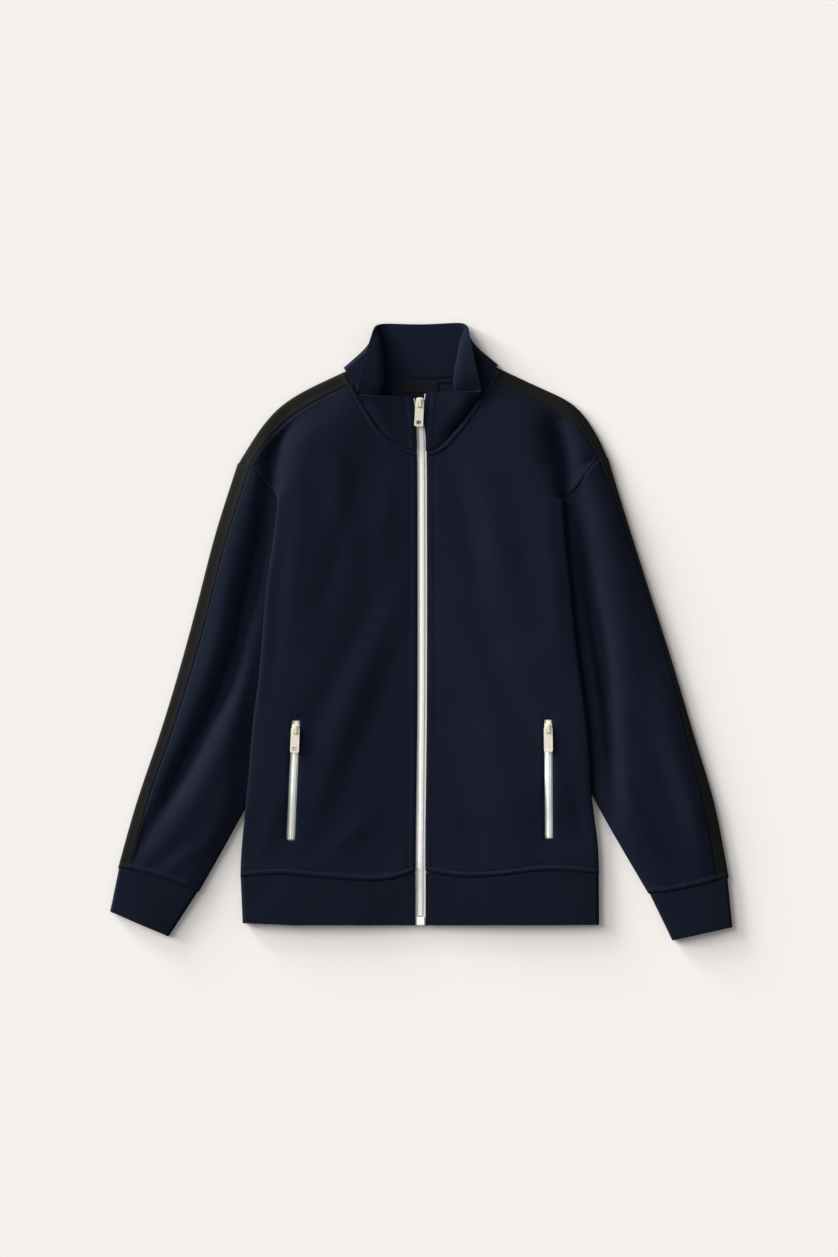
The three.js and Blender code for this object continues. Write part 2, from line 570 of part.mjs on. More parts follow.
function shoulderStripe(side) {
  const outer = [];
  const inner = [];
  for (const row of side.shoulder) {
    const edge = new THREE.Vector2(row.edgeU, row.edgeY);
    const seam = new THREE.Vector2(row.seamU, row.seamY);
    const width = edge.distanceTo(seam) - SEAM;
    const place = (t) => edge.clone().lerp(seam, t / edge.distanceTo(seam));
    const top = (t) => {
      const at = place(t);
      return frontTop(side, at.x, at.y);
    };
    const middle = (width + FLAT_FOLD) / 2;
    const profile = [
      { t: width, z: 0, normal: UP },
      ...roundFold(FLAT_FOLD, FLAT_FOLD, FLAT_FOLD, 270, 90, 5),
      { t: middle, z: top(middle) },
      { t: width, z: top(width), normal: DOWN },
    ];
    const inSpace = ({ t, z }) => {
      const at = place(t);
      return new THREE.Vector3(side.sign * at.x, at.y, z);
    };
    outer.push(profile.map(inSpace));
    inner.push(lining(profile, STRIPE_CLOTH).map(inSpace));
  }
  return clothWall(outer, inner);
}

// ---------- fronts ----------

const ROWS_BELOW_ARM = [48, 86, 118, 142];
const NECK_ROWS = [NECK_LOW, 234, 240];
const INNER_COLUMNS = 6;       // between the zip and the pocket
const ROLL_COLUMNS = 4;

// Heights of the rows that the front and the back share, from above the hem to the chest.
const sideRows = ({ pocket }) => (
  [-287, pocket.bottom, -232, -207, -184, -148, pocket.top, -72, -32, 8]
);

// Points of the armhole seam where the sleeve's columns meet it, from the stripe inwards.
function armholePoints(side, columns) {
  const ring = sleeveRing(side, 0);
  return columns(side, 0, ring.width).map((t) => {
    const at = ring.place(t / ring.width);
    return { u: at.x, y: at.y };
  });
}

// The outer end of a front's row: a rolled edge below the armhole, a flat one above it.
function frontEdge(side, y, innerU, edgeU) {
  if (y > side.corner.y + 1) {
    const room = clamp((edgeU - innerU) / 70, 0.01, 1);
    const crease = Math.min(side.valleyU(y), edgeU - 4 * room);
    const slope = valleySlope(side, y) * room;
    const stops = [crease - slope, crease - slope / 2, crease, (crease + edgeU) / 2, edgeU];
    const points = stops.map((t) => ({ t, z: frontTop(side, t, y) }));
    points[ROLL_COLUMNS].normal = DOWN;
    return points;
  }
  const low = underSide(side, y);
  const fold = side.foldU(y);
  const turned = clamp((side.corner.y - y) / 22, 0, 1);
  if (turned === 0 || y > side.corner.y - 1) {
    const drop = roundFold(fold - BODY_ROLL, low + BODY_ROLL, BODY_ROLL, 90, 0, 2);
    const inward = { t: -1, z: 0 };
    const top = low + BODY_ROLL;
    drop.push({ t: fold, z: (top + FLAT) / 2, normal: inward }, { t: fold, z: FLAT, normal: inward });
    return drop;
  }
  return roundFold(fold - BODY_ROLL, low + BODY_ROLL, BODY_ROLL, 90, -90 * turned, ROLL_COLUMNS);
}

// A front's row at height y: from the neck or the zip to the side's fold or the armhole.
function frontRow(side, y, edgeLine) {
  const { pocket } = side;
  const pocketU = (at) => pocketMiddle(side, at) - pocket.width / 2;
  const neck = y > NECK_LOW ? side.neckU(y) + SEAM : zipEdgeU(side, y);
  const edge = frontEdge(side, y, neck, y > side.corner.y + 1 ? alongLine(edgeLine, y) : null);
  const nearY = clamp(y, pocket.bottom, pocket.top);
  const [bodyStart, bodyEnd] = [zipEdgeU(side, nearY), side.foldU(nearY) - BODY_ROLL];
  const share = (u) => (u - bodyStart) / (bodyEnd - bodyStart);
  const [slotStart, slotEnd] = [share(pocketU(nearY)), share(pocketU(nearY) + pocket.width)];
  const stops = evenly(0, slotStart, INNER_COLUMNS);
  stops.push(slotEnd, (slotEnd + 1) / 2);
  const flat = stops.map((s) => {
    const u = lerp(neck, edge[0].t, s);
    return { t: u, z: frontTop(side, u, y) };
  });
  flat[0].normal = DOWN;
  return [...flat, ...edge];
}

// The seam between the front and the hem, straight between the front's columns.
function hemLine(side) {
  const row = frontRow(side, side.hemSeam[0].y, []);
  return row.slice(0, -ROLL_COLUMNS / 2).map(({ t }) => ({ y: side.hemSeamY(t), u: t }));
}

function frontPanel(side) {
  const { pocket } = side;
  const armhole = armholePoints(side, panelColumns).filter((point) => point.y > side.corner.y + 3);
  const shoulder = side.shoulder.slice(1).map((row) => ({ u: row.seamU - SEAM, y: row.seamY }));
  const heights = [
    side.hemSeam[0].y, ...sideRows(side), ...ROWS_BELOW_ARM, side.corner.y - 12, side.corner.y,
    ...armhole.map((point) => point.y).reverse(), ...shoulder.map((point) => point.y),
  ];
  for (const y of NECK_ROWS) {
    if (heights.every((other) => Math.abs(other - y) > 1.5)) heights.push(y);
  }
  heights.sort((a, b) => a - b);
  const outer = [];
  const inner = [];
  for (const y of heights) {
    const profile = frontRow(side, y, [...armhole, ...shoulder]);
    const atHem = y === heights[0];
    const inSpace = ({ t, z }) => new THREE.Vector3(side.sign * t, atHem ? side.hemSeamY(t) + SEAM : y, z);
    outer.push(profile.map(inSpace));
    inner.push(lining(profile, CLOTH).map(inSpace));
  }
  const slot = {
    row0: heights.indexOf(pocket.bottom),
    row1: heights.indexOf(pocket.top),
    column0: INNER_COLUMNS,
    column1: INNER_COLUMNS + 1,
  };
  return clothWall(outer, inner, { slot });
}

// ---------- back ----------

// Underside of the back panel, from one side edge to the other; it rises over the hidden part of
// each sleeve.
function backEdge(side, { y, u, low }) {
  const clearOfSleeve = Math.min(side.innerEdgeU(y) - 2, u - 3);
  return [
    { u, z: low },
    { u: (u + clearOfSleeve) / 2, z: low },
    { u: clearOfSleeve, z: low },
    { u: clearOfSleeve - 14, z: 0 },
  ];
}

const BACK_MIDDLE_COLUMNS = 4;
const UNDERARM_ROWS = 4;       // where the back's edge comes in from the fold to the underarm

function backSideRows(side) {
  const underarm = side.armhole[side.armhole.length - 1];
  const edgeAtFold = (y) => side.foldU(y) - BODY_ROLL - SEAM;
  const rows = [side.hemSeam[side.hemSeam.length - 1].y + SEAM, ...sideRows(side)]
    .map((y) => ({ y, u: edgeAtFold(y), low: underSide(side, y) }));
  const start = rows[rows.length - 1].y;
  for (let i = 1; i <= UNDERARM_ROWS; i += 1) {
    const y = lerp(start, underarm.y, i / UNDERARM_ROWS);
    rows.push({ y, u: lerp(edgeAtFold(start), underarm.u - 1, i / UNDERARM_ROWS), low: OVER_SLEEVE });
  }
  for (const point of armholePoints(side, underColumns).slice(1)) {
    rows.push({ y: point.y, u: point.u - 0.2, low: 0 });
  }
  for (const row of side.shoulder.slice(1)) {
    rows.push({ y: row.seamY, u: row.seamU - SEAM, low: 0 });
  }
  return rows;
}

// The back's neck edge dips a little at the middle and runs down to the shoulder stripes.
const backNeckY = through([
  { x: -88, y: 314 }, { x: -62, y: 321 }, { x: -40, y: 323 }, { x: 0, y: 320 }, { x: 40, y: 323 },
  { x: 62, y: 322.8 }, { x: 91, y: 318 },
], 'x', 'y');

function backPanel() {
  const { right, left } = SIDES;
  const rightRows = backSideRows(right);
  const leftRows = backSideRows(left);
  const outer = [];
  const inner = [];
  rightRows.forEach((rightRow, i) => {
    const leftRow = leftRows[i];
    const rightEdge = backEdge(right, rightRow).map(({ u, z }) => ({ t: -u, z }));
    const leftEdge = backEdge(left, leftRow).map(({ u, z }) => ({ t: u, z }));
    const [from, to] = [rightEdge[3].t, leftEdge[3].t];
    const middle = Array.from({ length: BACK_MIDDLE_COLUMNS }, (_, k) => ({
      t: lerp(from, to, (k + 1) / (BACK_MIDDLE_COLUMNS + 1)),
      z: 0,
    }));
    const profile = [...leftEdge, ...middle.reverse(), ...rightEdge.reverse()];
    for (const point of profile) point.normal = UP;
    const inSpace = ({ t, z }) => {
      const share = clamp((t + rightRow.u) / (rightRow.u + leftRow.u), 0, 1);
      const atNeck = i === rightRows.length - 1;
      return new THREE.Vector3(t, atNeck ? backNeckY(t) : lerp(rightRow.y, leftRow.y, share), z);
    };
    outer.push(profile.map(inSpace));
    inner.push(lining(profile, CLOTH).map(inSpace));
  });
  return clothWall(outer, inner);
}

// ---------- ribbed hem and cuffs ----------

const ribRise = (k) => (k % 2 === 1 ? RIB_HEIGHT : 0);

// The hem: one doubled rib band from the zip round the back to the zip again.
function hemBand() {
  const outer = [];
  const inner = [];
  const ribs = Math.round((SIDES.right.foldU(HEM_END) - ZIP_HALF) / RIB_PITCH);
  const front = (side, down) => {
    const line = hemLine(side).map(({ u, y }) => ({ y: u, u: y }));
    const seamY = (u) => alongLine(line, u) - SEAM;
    const endY = (u) => HEM_END + side.hemCornerLift * smoothstep(u, 150, 226);
    const place = (u) => lerp(seamY(u), endY(u), down);
    const foldU = side.foldU(lerp(side.hemSeam[side.hemSeam.length - 1].y, HEM_END, down));
    const start = zipEdgeU(side, HEM_END);
    const top = evenly(start, foldU - BODY_ROLL, 2 * ribs).map((u, k) => (
      { u, z: bodyTop(side, u, side.hemSeam[0].y), rise: ribRise(k), y: place(u) }
    ));
    const edgeY = place(foldU);
    return { top, foldU, edgeY };
  };
  for (const down of [0, 1]) {
    const right = front(SIDES.right, down);
    const left = front(SIDES.left, down);
    // from the right front, round its fold, across the back and up to the left front
    const profile = [
      ...left.top.map(({ u, z, rise, y }) => ({ t: u, z, rise, y, normal: DOWN })),
      ...roundFold(left.foldU - BODY_ROLL, BODY_ROLL, BODY_ROLL, 90, -90, 4).slice(1)
        .map((point) => ({ ...point, y: left.edgeY, rise: 0 })),
      ...[0.75, 0.5, 0.25].map((share) => ({
        t: lerp(-right.foldU, left.foldU, share),
        z: 0,
        y: lerp(right.edgeY, left.edgeY, share),
        rise: 0,
        normal: UP,
      })),
      ...roundFold(-right.foldU + BODY_ROLL, BODY_ROLL, BODY_ROLL, 270, 90, 4).slice(0, -1)
        .map((point) => ({ ...point, y: right.edgeY, rise: 0 })),
      ...right.top.map(({ u, z, rise, y }) => ({ t: -u, z, rise, y, normal: DOWN })).reverse(),
    ];
    outer.push(profile.map(({ t, z, y, rise }) => new THREE.Vector3(t, y, z + rise)));
    inner.push(lining(profile, RIB_CLOTH).map(({ t, z }, k) => new THREE.Vector3(t, profile[k].y, z)));
  }
  const columns = outer[0].length;
  const ribColumns = 2 * ribs + 1;
  const every = 10;
  const kept = outer[0].map((_, j) => j).filter((j) => {
    const onLeft = j < ribColumns;
    const onRight = j >= columns - ribColumns;
    if (onLeft) return j % every === 0 || j === ribColumns - 1;
    if (onRight) return (columns - 1 - j) % every === 0 || j === columns - ribColumns;
    return true;
  });
  return clothWall(outer, inner, { kept });
}

const CUFF_RIBS = 36;
const CUFF_TUCK = 0.012;       // share of the sleeve's width that its end is gathered in by

// A cuff: a ribbed tube, pressed flat, that narrows from the sleeve's end to its own.
function cuff(side) {
  const seam = sleeveRing(side, 1);
  const end = side.cuff;
  const outer = [];
  const inner = [];
  for (const down of [0, 1]) {
    const from = new THREE.Vector2(end.outerU, end.outerY);
    const to = new THREE.Vector2(end.innerU, end.innerY);
    const drop = SEAM / (seam.place(0.5).distanceTo(from.clone().lerp(to, 0.5)));
    const share = lerp(drop, 1, down);
    const gathered = (q) => lerp(CUFF_TUCK, 1 - CUFF_TUCK, q);
    const place = (q) => seam.place(gathered(q)).lerp(from.clone().lerp(to, q), share);
    const width = place(0).distanceTo(place(1));
    const topZ = (t) => FLAT + CUFF_LOFT * Math.sin(Math.PI * t / width);
    const top = evenly(FLAT_FOLD, width - FLAT_FOLD, 2 * CUFF_RIBS).map((t, k) => (
      { t, z: topZ(t), rise: ribRise(k), normal: DOWN }
    ));
    const profile = [
      ...top,
      ...roundFold(width - FLAT_FOLD, FLAT_FOLD, FLAT_FOLD, 90, -90, 4).slice(1),
      ...[0.67, 0.33].map((q) => ({ t: q * width, z: 0, normal: UP })),
      ...roundFold(FLAT_FOLD, FLAT_FOLD, FLAT_FOLD, 270, 90, 4).slice(0, -1),
    ];
    const inSpace = ({ t, z, rise = 0 }) => {
      const at = place(t / width);
      return new THREE.Vector3(side.sign * at.x, at.y, z + rise);
    };
    outer.push(profile.map(inSpace));
    inner.push(lining(profile, RIB_CLOTH).map(inSpace));
  }
  const every = 8;
  const kept = outer[0].map((_, j) => j).filter((j) => j > 2 * CUFF_RIBS || j % every === 0);
  return clothWall(outer, inner, { closed: true, kept });
}

// ---------- collar ----------

const COLLAR_STEPS = 10;

// The line of one section of the collar, from its neck seam, round its roll, to its free edge.
function collarLine(side, row) {
  const place = ([u, y, z]) => new THREE.Vector3(side.sign * u, y, z);
  const [seam, roll, edge] = [place(row.seam), place(row.roll), place(row.edge)];
  let before = row.before ? place(row.before) : seam.clone().lerp(roll, 0.5);
  let after = roll.clone().lerp(edge, 0.5);
  if (row.turn > 0) {
    const outwards = seam.clone().add(edge).multiplyScalar(0.5).sub(roll).setZ(0).setLength(row.turn);
    before = roll.clone().add(outwards).add(new THREE.Vector3(0, 0, -0.85 * row.turn));
    after = roll.clone().add(outwards).add(new THREE.Vector3(0, 0, 0.85 * row.turn));
  }
  const curve = new THREE.CatmullRomCurve3([seam, before, roll, after, edge]);
  return Array.from({ length: COLLAR_STEPS + 1 }, (_, i) => {
    const share = i / COLLAR_STEPS;
    return curve.getPoint(lerp(share, curve.getUtoTmapping(share), 0.5));
  });
}

// One doubled band round the neck. At the front it lies open; at each side its upper part is
// rolled outwards; behind it lies flat on the floor.
function collar() {
  const { right, left } = SIDES;
  const flat = COLLAR_CLOTH / 2;
  const middle = {
    seam: [0, backNeckY(0) + 4 * SEAM, flat], roll: [0, 355, flat], edge: [0, 389.3, flat], turn: 0,
  };
  const lines = [
    ...right.collar.map((row) => collarLine(right, row)),
    collarLine(right, middle),
    ...[...left.collar].reverse().map((row) => collarLine(left, row)),
  ];
  const normalAt = (i, j) => {
    const along = lines[Math.min(i + 1, lines.length - 1)][j].clone().sub(lines[Math.max(i - 1, 0)][j]);
    const across = lines[i][Math.min(j + 1, COLLAR_STEPS)].clone().sub(lines[i][Math.max(j - 1, 0)]);
    return along.cross(across).setLength(COLLAR_CLOTH / 2);
  };
  const face = (way) => lines.map((line, i) => (
    line.map((point, j) => point.clone().addScaledVector(normalAt(i, j), way))
  ));
  return clothWall(face(1), face(-1));
}

function neckLabel() {
  const rows = [305, backNeckY(0) - 3];
  const place = (z) => rows.map((y) => [-22, 22].map((x) => new THREE.Vector3(x, y, z)));
  const low = CLOTH + SEAM;
  return clothWall(place(low + 0.6), place(low));
}

// ---------- zips ----------

// Top of the main zip's tape, under the hem's rib, the fronts and the edges of the collar.
const tapeTop = through([
  { y: -372, z: 4.3 }, { y: -302, z: 4.3 }, { y: -290, z: 4.9 }, { y: -200, z: 4.9 },
  { y: 150, z: 4.9 }, { y: 222, z: 4.7 }, { y: 263, z: 7.4 }, { y: 300, z: 10 },
], 'y', 'z');

const ZIP_ROWS = [HEM_END, -302, -290, -200, -60, 60, 150, 210, NECK_LOW, 246, 263, 284];
const SLIDER_Y = 290;
const TAPE_UNDER = 14;         // outer edge of the tape, from the zip's centre
const TAPE_PARTING = 3.4;      // how far each tape moves out above the slider

// One tape. Above the slider the two tapes part, and each ends a little under its collar's edge.
function zipTape(side) {
  const end = side.collar[0].edge[1] - 4 * SEAM;
  const spread = (y) => TAPE_PARTING * smoothstep(y, 286, 300);
  const across = [CHAIN_HALF + SEAM, TAPE_UNDER];
  const at = (drop) => [...ZIP_ROWS, end].map((y) => across.map((u) => (
    new THREE.Vector3(zipLine(y) + side.sign * (u + spread(y)), y, tapeTop(y) - drop)
  )));
  return clothWall(at(0), at(TAPE));
}

const BOX_TOP = -360;

function zipChain() {
  const rows = [BOX_TOP + SEAM, ...ZIP_ROWS.filter((y) => y > BOX_TOP && y < SLIDER_Y), SLIDER_Y + 5];
  const at = (z) => rows.map((y) => [-CHAIN_HALF, CHAIN_HALF].map((x) => (
    new THREE.Vector3(zipLine(y) + x, y, tapeTop(y) + z)
  )));
  return clothWall(at(CHAIN_PROUD), at(CHAIN_PROUD - CHAIN_THICK));
}

// A BufferGeometry from a joined solid.
function fromJoined(made) {
  const { vertProperties, triVerts, numProp } = made.getMesh();
  const points = [];
  for (let i = 0; i < vertProperties.length; i += numProp) {
    points.push(new THREE.Vector3(...vertProperties.slice(i, i + 3)));
  }
  const faces = [];
  for (let i = 0; i < triVerts.length; i += 3) faces.push([...triVerts.slice(i, i + 3)]);
  return solid(points, faces);
}

// A plate standing on z = bottom, with its outline's corners rounded.
function plate(width, length, radius, bottom, thickness) {
  const core = CrossSection.square([width - 2 * radius, length - 2 * radius], true);
  return core.offset(radius, 'Round', 2, 16).extrude(thickness).translate([0, 0, bottom]);
}

// A block between two values along each axis.
function block([x0, x1], [y0, y1], [z0, z1]) {
  return Manifold.cube([x1 - x0, y1 - y0, z1 - z0]).translate([x0, y0, z0]);
}

// Slider sizes, from the top of the teeth at the slider's middle, with +Y up the zip. The bridge
// stands on the plate and holds the pull's bar, at hingeY and hingeZ.
const SLIDER = {
  width: 9.4,
  length: 14,
  corner: 2.5,
  plateLow: 0.3,
  plateTop: 2.1,
  bridgeTop: 5.9,
  bridgeHalf: 1.4,
  bridgeWall: 1.1,
  hingeY: 1.5,
  hingeZ: 3.5,
};
const PULL = { width: 11, length: 31, corner: 2, thickness: 1.4, armGap: 4.4, window: 8, hole: 5 };
const BITE = 0.5;              // how deep parts of one casting run into each other

function sliderBody() {
  const { width, length, corner, plateLow, plateTop, bridgeTop, bridgeHalf, bridgeWall } = SLIDER;
  const half = length / 2 - corner;
  const top = plate(width, length, corner, plateLow, plateTop - plateLow);
  const flange = block(
    [CHAIN_HALF + SEAM, width / 2 - 0.2],
    [-half, half],
    [SEAM - CHAIN_PROUD, plateLow + BITE],
  );
  const bridge = block([-bridgeHalf, bridgeHalf], [-5, 5.4], [plateTop - BITE, bridgeTop])
    .subtract(block([-2, 2], [-3.6, 4], [plateTop, bridgeTop - bridgeWall]));
  return Manifold.union([top, flange, flange.mirror([1, 0, 0]), bridge]);
}

// The pull hangs from a bar under the slider's bridge, at the origin, and points to -Y.
function pullTab() {
  const { width, length, corner, thickness, armGap, window, hole } = PULL;
  const bar = thickness / 2;
  return plate(width, length + bar, corner, -bar, thickness).translate([0, (bar - length) / 2, 0])
    .subtract(block([-armGap / 2, armGap / 2], [-window, -bar], [-thickness, thickness]))
    .subtract(plate(width - hole, hole, 1, -thickness, 2 * thickness).translate([0, hole - length, 0]));
}

// Puts a slider and its pull on a zip: at a point on top of its teeth, along its line.
function sliderSet(point, slope, heading, swing) {
  const lie = new THREE.Matrix4().makeTranslation(point)
    .multiply(new THREE.Matrix4().makeRotationZ(heading))
    .multiply(new THREE.Matrix4().makeRotationX(slope));
  const hang = lie.clone().multiply(new THREE.Matrix4().makeTranslation(0, SLIDER.hingeY, SLIDER.hingeZ))
    .multiply(new THREE.Matrix4().makeRotationZ(swing));
  return {
    slider: fromJoined(sliderBody()).applyMatrix4(lie),
    pull: fromJoined(pullTab()).applyMatrix4(hang),
    hinge: new THREE.Vector3().setFromMatrixPosition(hang),
    axis: new THREE.Vector3().setFromMatrixColumn(hang, 0),
  };
}

function mainSlider() {
  const slope = Math.atan((tapeTop(SLIDER_Y + 6) - tapeTop(SLIDER_Y - 20)) / 26);
  const point = new THREE.Vector3(zipLine(SLIDER_Y), SLIDER_Y, tapeTop(SLIDER_Y) + CHAIN_PROUD);
  return sliderSet(point, slope, 0, degToRad(-3));
}

function zipBox() {
  const low = tapeTop(-366) + SEAM;
  return fromJoined(plate(9.4, 10.5, 1.2, low, 2.6).translate([zipLine(-366), -366, 0]));
}

// ---------- pocket zips ----------

const POCKET_TAPE = 4;         // how far the tape runs under the cloth on each side of the slot

// The middle of the slot at height y, and the top of the tape under it.
function pocketMiddle(side, y) {
  const { top, bottom, topU, bottomU, width } = side.pocket;
  return lerp(bottomU, topU, (y - bottom) / (top - bottom)) + width / 2;
}

// The top of the tape, which follows the lower edge of the cloth from row to row of the front.
function pocketTapeTop(side, y) {
  const half = side.pocket.width / 2 + POCKET_TAPE;
  const line = sideRows(side).map((row) => {
    const middle = pocketMiddle(side, row);
    const lowest = Math.min(frontTop(side, middle - half, row), frontTop(side, middle + half, row));
    return { y: row, u: lowest - CLOTH - 0.6 };
  });
  return alongLine(line, y);
}

// Tape and closed teeth in one strip under the slot.
function pocketZip(side) {
  const { pocket } = side;
  const between = sideRows(side).filter((y) => y > pocket.bottom && y < pocket.top);
  const rows = [
    { y: pocket.bottom - 5, teeth: 0 },
    { y: pocket.bottom + 0.5, teeth: 0 },
    { y: pocket.bottom + 1.5, teeth: 1 },
    ...between.map((y) => ({ y, teeth: 1 })),
    { y: pocket.top - 1.5, teeth: 1 },
    { y: pocket.top - 0.5, teeth: 0 },
    { y: pocket.top + 5, teeth: 0 },
  ];
  const half = pocket.width / 2 + POCKET_TAPE;
  const columns = [
    { u: -half, proud: 0 }, { u: -CHAIN_HALF - 0.1, proud: 0 }, { u: -CHAIN_HALF, proud: CHAIN_PROUD },
    { u: CHAIN_HALF, proud: CHAIN_PROUD }, { u: CHAIN_HALF + 0.1, proud: 0 }, { u: half, proud: 0 },
  ];
  const place = (y, u, drop) => (
    new THREE.Vector3(side.sign * (pocketMiddle(side, y) + u), y, pocketTapeTop(side, y) - drop)
  );
  const top = rows.map(({ y, teeth }) => columns.map(({ u, proud }) => place(y, u, -teeth * proud)));
  return clothWall(top, rows.map(({ y }) => columns.map(({ u }) => place(y, u, TAPE))));
}

function pocketSlider(side) {
  const { pocket } = side;
  const y = pocket.top - 12;
  const rise = (pocketTapeTop(side, y + 5) - pocketTapeTop(side, y - 5)) / 10;
  const lean = (pocket.topU - pocket.bottomU) / (pocket.top - pocket.bottom);
  const z = pocketTapeTop(side, y) + CHAIN_PROUD;
  const point = new THREE.Vector3(side.sign * pocketMiddle(side, y), y, z);
  return sliderSet(point, Math.atan(rise), -side.sign * Math.atan(lean), 0);
}

// ---------- the jacket ----------

const finish = (color, roughness) => new THREE.MeshStandardMaterial({ color, roughness });
const navyKnit = finish('#1b2030', 0.95);
const navyRib = finish('#181c28', 0.95);
const blackTape = finish('#1b1b1b', 0.8);
const blackLabel = finish('#121212', 0.5);
const ivoryTape = finish('#e2ddd0', 0.85);
const ivoryTeeth = finish('#e6e2d6', 0.45);
const ivoryEnamel = finish('#e6e2d6', 0.35);

const jacket = new THREE.Group();

function add(name, geometry, look) {
  const mesh = new THREE.Mesh(geometry, look);
  mesh.name = name;
  jacket.add(mesh);
}

add('back', backPanel(), navyKnit);
for (const [name, side] of Object.entries(SIDES)) {
  add(`front_${name}`, frontPanel(side), navyKnit);
  add(`sleeve_${name}`, sleevePanel(side), navyKnit);
  add(`sleeve_stripe_${name}`, sleeveStripe(side), blackTape);
  add(`shoulder_stripe_${name}`, shoulderStripe(side), blackTape);
  add(`cuff_${name}`, cuff(side), navyRib);
}
add('hem_band', hemBand(), navyRib);
add('collar', collar(), navyKnit);
add('neck_label', neckLabel(), blackLabel);
for (const [name, side] of Object.entries(SIDES)) {
  add(`zip_tape_${name}`, zipTape(side), ivoryTape);
  add(`pocket_zip_${name}`, pocketZip(side), ivoryTape);
  const set = pocketSlider(side);
  add(`pocket_slider_${name}`, set.slider, ivoryEnamel);
  add(`pocket_pull_${name}`, set.pull, ivoryEnamel);
}
const mainSet = mainSlider();
add('zip_chain', zipChain(), ivoryTeeth);
add('zip_slider', mainSet.slider, ivoryEnamel);
add('zip_pull', mainSet.pull, ivoryEnamel);
add('zip_box', zipBox(), ivoryTeeth);

// The origin is under the middle of the whole jacket.
const whole = new THREE.Box3().setFromObject(jacket);
const centre = whole.getCenter(new THREE.Vector3());
for (const mesh of jacket.children) mesh.geometry.translate(-centre.x, -centre.y, 0);

export default jacket;
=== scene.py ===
import json
import math
from collections import namedtuple

import bmesh
import bpy
import numpy as np
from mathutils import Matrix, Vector
from mathutils.bvhtree import BVHTree
from mathutils.kdtree import KDTree

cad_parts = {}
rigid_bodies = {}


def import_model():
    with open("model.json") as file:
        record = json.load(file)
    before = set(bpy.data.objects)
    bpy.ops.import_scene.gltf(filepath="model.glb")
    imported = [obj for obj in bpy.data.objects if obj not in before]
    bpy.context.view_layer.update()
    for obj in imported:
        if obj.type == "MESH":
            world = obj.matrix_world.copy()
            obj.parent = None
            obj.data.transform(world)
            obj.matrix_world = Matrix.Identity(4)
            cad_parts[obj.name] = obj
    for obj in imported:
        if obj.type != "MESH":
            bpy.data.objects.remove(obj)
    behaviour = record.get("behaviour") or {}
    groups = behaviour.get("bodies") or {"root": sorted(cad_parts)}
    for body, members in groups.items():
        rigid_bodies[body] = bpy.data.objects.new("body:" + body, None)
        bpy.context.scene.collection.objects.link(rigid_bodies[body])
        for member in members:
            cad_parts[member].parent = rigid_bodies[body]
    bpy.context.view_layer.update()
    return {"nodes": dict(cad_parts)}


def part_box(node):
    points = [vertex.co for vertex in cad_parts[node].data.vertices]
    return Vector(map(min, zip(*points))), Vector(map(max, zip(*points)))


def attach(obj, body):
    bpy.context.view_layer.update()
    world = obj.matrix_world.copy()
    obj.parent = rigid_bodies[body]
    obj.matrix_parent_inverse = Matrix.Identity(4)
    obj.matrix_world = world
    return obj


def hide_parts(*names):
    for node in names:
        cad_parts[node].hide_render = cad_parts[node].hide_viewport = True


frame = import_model()
bpy.ops.object.select_all(action="DESELECT")


# ---------------------------------------------------------------------------------------------
# The table and the light. The jacket lies on a plain warm white sheet. A broad soft light comes
# from the left, two lower ones from the left and from beyond the collar rake over the folds and
# throw long soft shadows, and a weak even light fills in. It is seen from straight above.

MM = 0.001
SHEET_SIZE = 14.0
SHEET_DROP = 0.4 * MM
SHEET_COLOUR = (0.875, 0.838, 0.81, 1)
LIGHTS = {
    "window": {"from": (-0.74, 0.42, 0.52), "strength": 2.35, "spread": 38},
    "low_window": {"from": (-0.88, 0.40, 0.235), "strength": 2.3, "spread": 17},
    "far_window": {"from": (-0.66, 0.74, 0.13), "strength": 4.2, "spread": 16},
}
ROOM_LIGHT = 0.318
VIEW_CENTRE = Vector((-2.9, 4.3, 0)) * MM
VIEW_HEIGHT = 1596 * MM
LENS = 90
SENSOR = 36
FARTHEST_SEEN = 40

camera_data = bpy.data.cameras.new("overhead")
camera_data.lens = LENS
camera_data.sensor_width = SENSOR
camera = bpy.data.objects.new("overhead", camera_data)
camera.location = VIEW_CENTRE + Vector((0, 0, VIEW_HEIGHT * LENS / SENSOR))
camera_data.clip_end = FARTHEST_SEEN
bpy.context.scene.collection.objects.link(camera)
bpy.context.scene.camera = camera
bpy.context.scene.view_settings.view_transform = "Standard"

world = bpy.data.worlds.new("room")
bpy.context.scene.world = world
world.use_nodes = True
world.node_tree.nodes["Background"].inputs["Color"].default_value = (1, 1, 1, 1)
world.node_tree.nodes["Background"].inputs["Strength"].default_value = ROOM_LIGHT

for name, light in LIGHTS.items():
    lamp_data = bpy.data.lights.new(name, "SUN")
    lamp_data.energy = light["strength"]
    lamp_data.angle = math.radians(light["spread"])
    lamp = bpy.data.objects.new(name, lamp_data)
    lamp.rotation_euler = Vector(light["from"]).to_track_quat("Z", "Y").to_euler()
    bpy.context.scene.collection.objects.link(lamp)

bpy.ops.mesh.primitive_plane_add(size=SHEET_SIZE, location=(0, 0, -SHEET_DROP))
table_sheet = bpy.context.object
table_sheet.name = "table_sheet"
bpy.ops.object.select_all(action="DESELECT")
paper = bpy.data.materials.new("warm_white_sheet")
paper.use_nodes = True
paper_shader = paper.node_tree.nodes["Principled BSDF"]
paper_shader.inputs["Base Color"].default_value = SHEET_COLOUR
paper_shader.inputs["Roughness"].default_value = 0.95
paper_shader.inputs["Specular IOR Level"].default_value = 0.0
table_sheet.data.materials.append(paper)


# ---------------------------------------------------------------------------------------------
# The back. One panel of navy sweatshirt knit, 1.8 mm thick, smooth outside and brushed inside.
# It lies with its smooth side on the table and carries everything else; the shoulder stripes, the
# armhole seams and the side folds join it to the pieces on top.

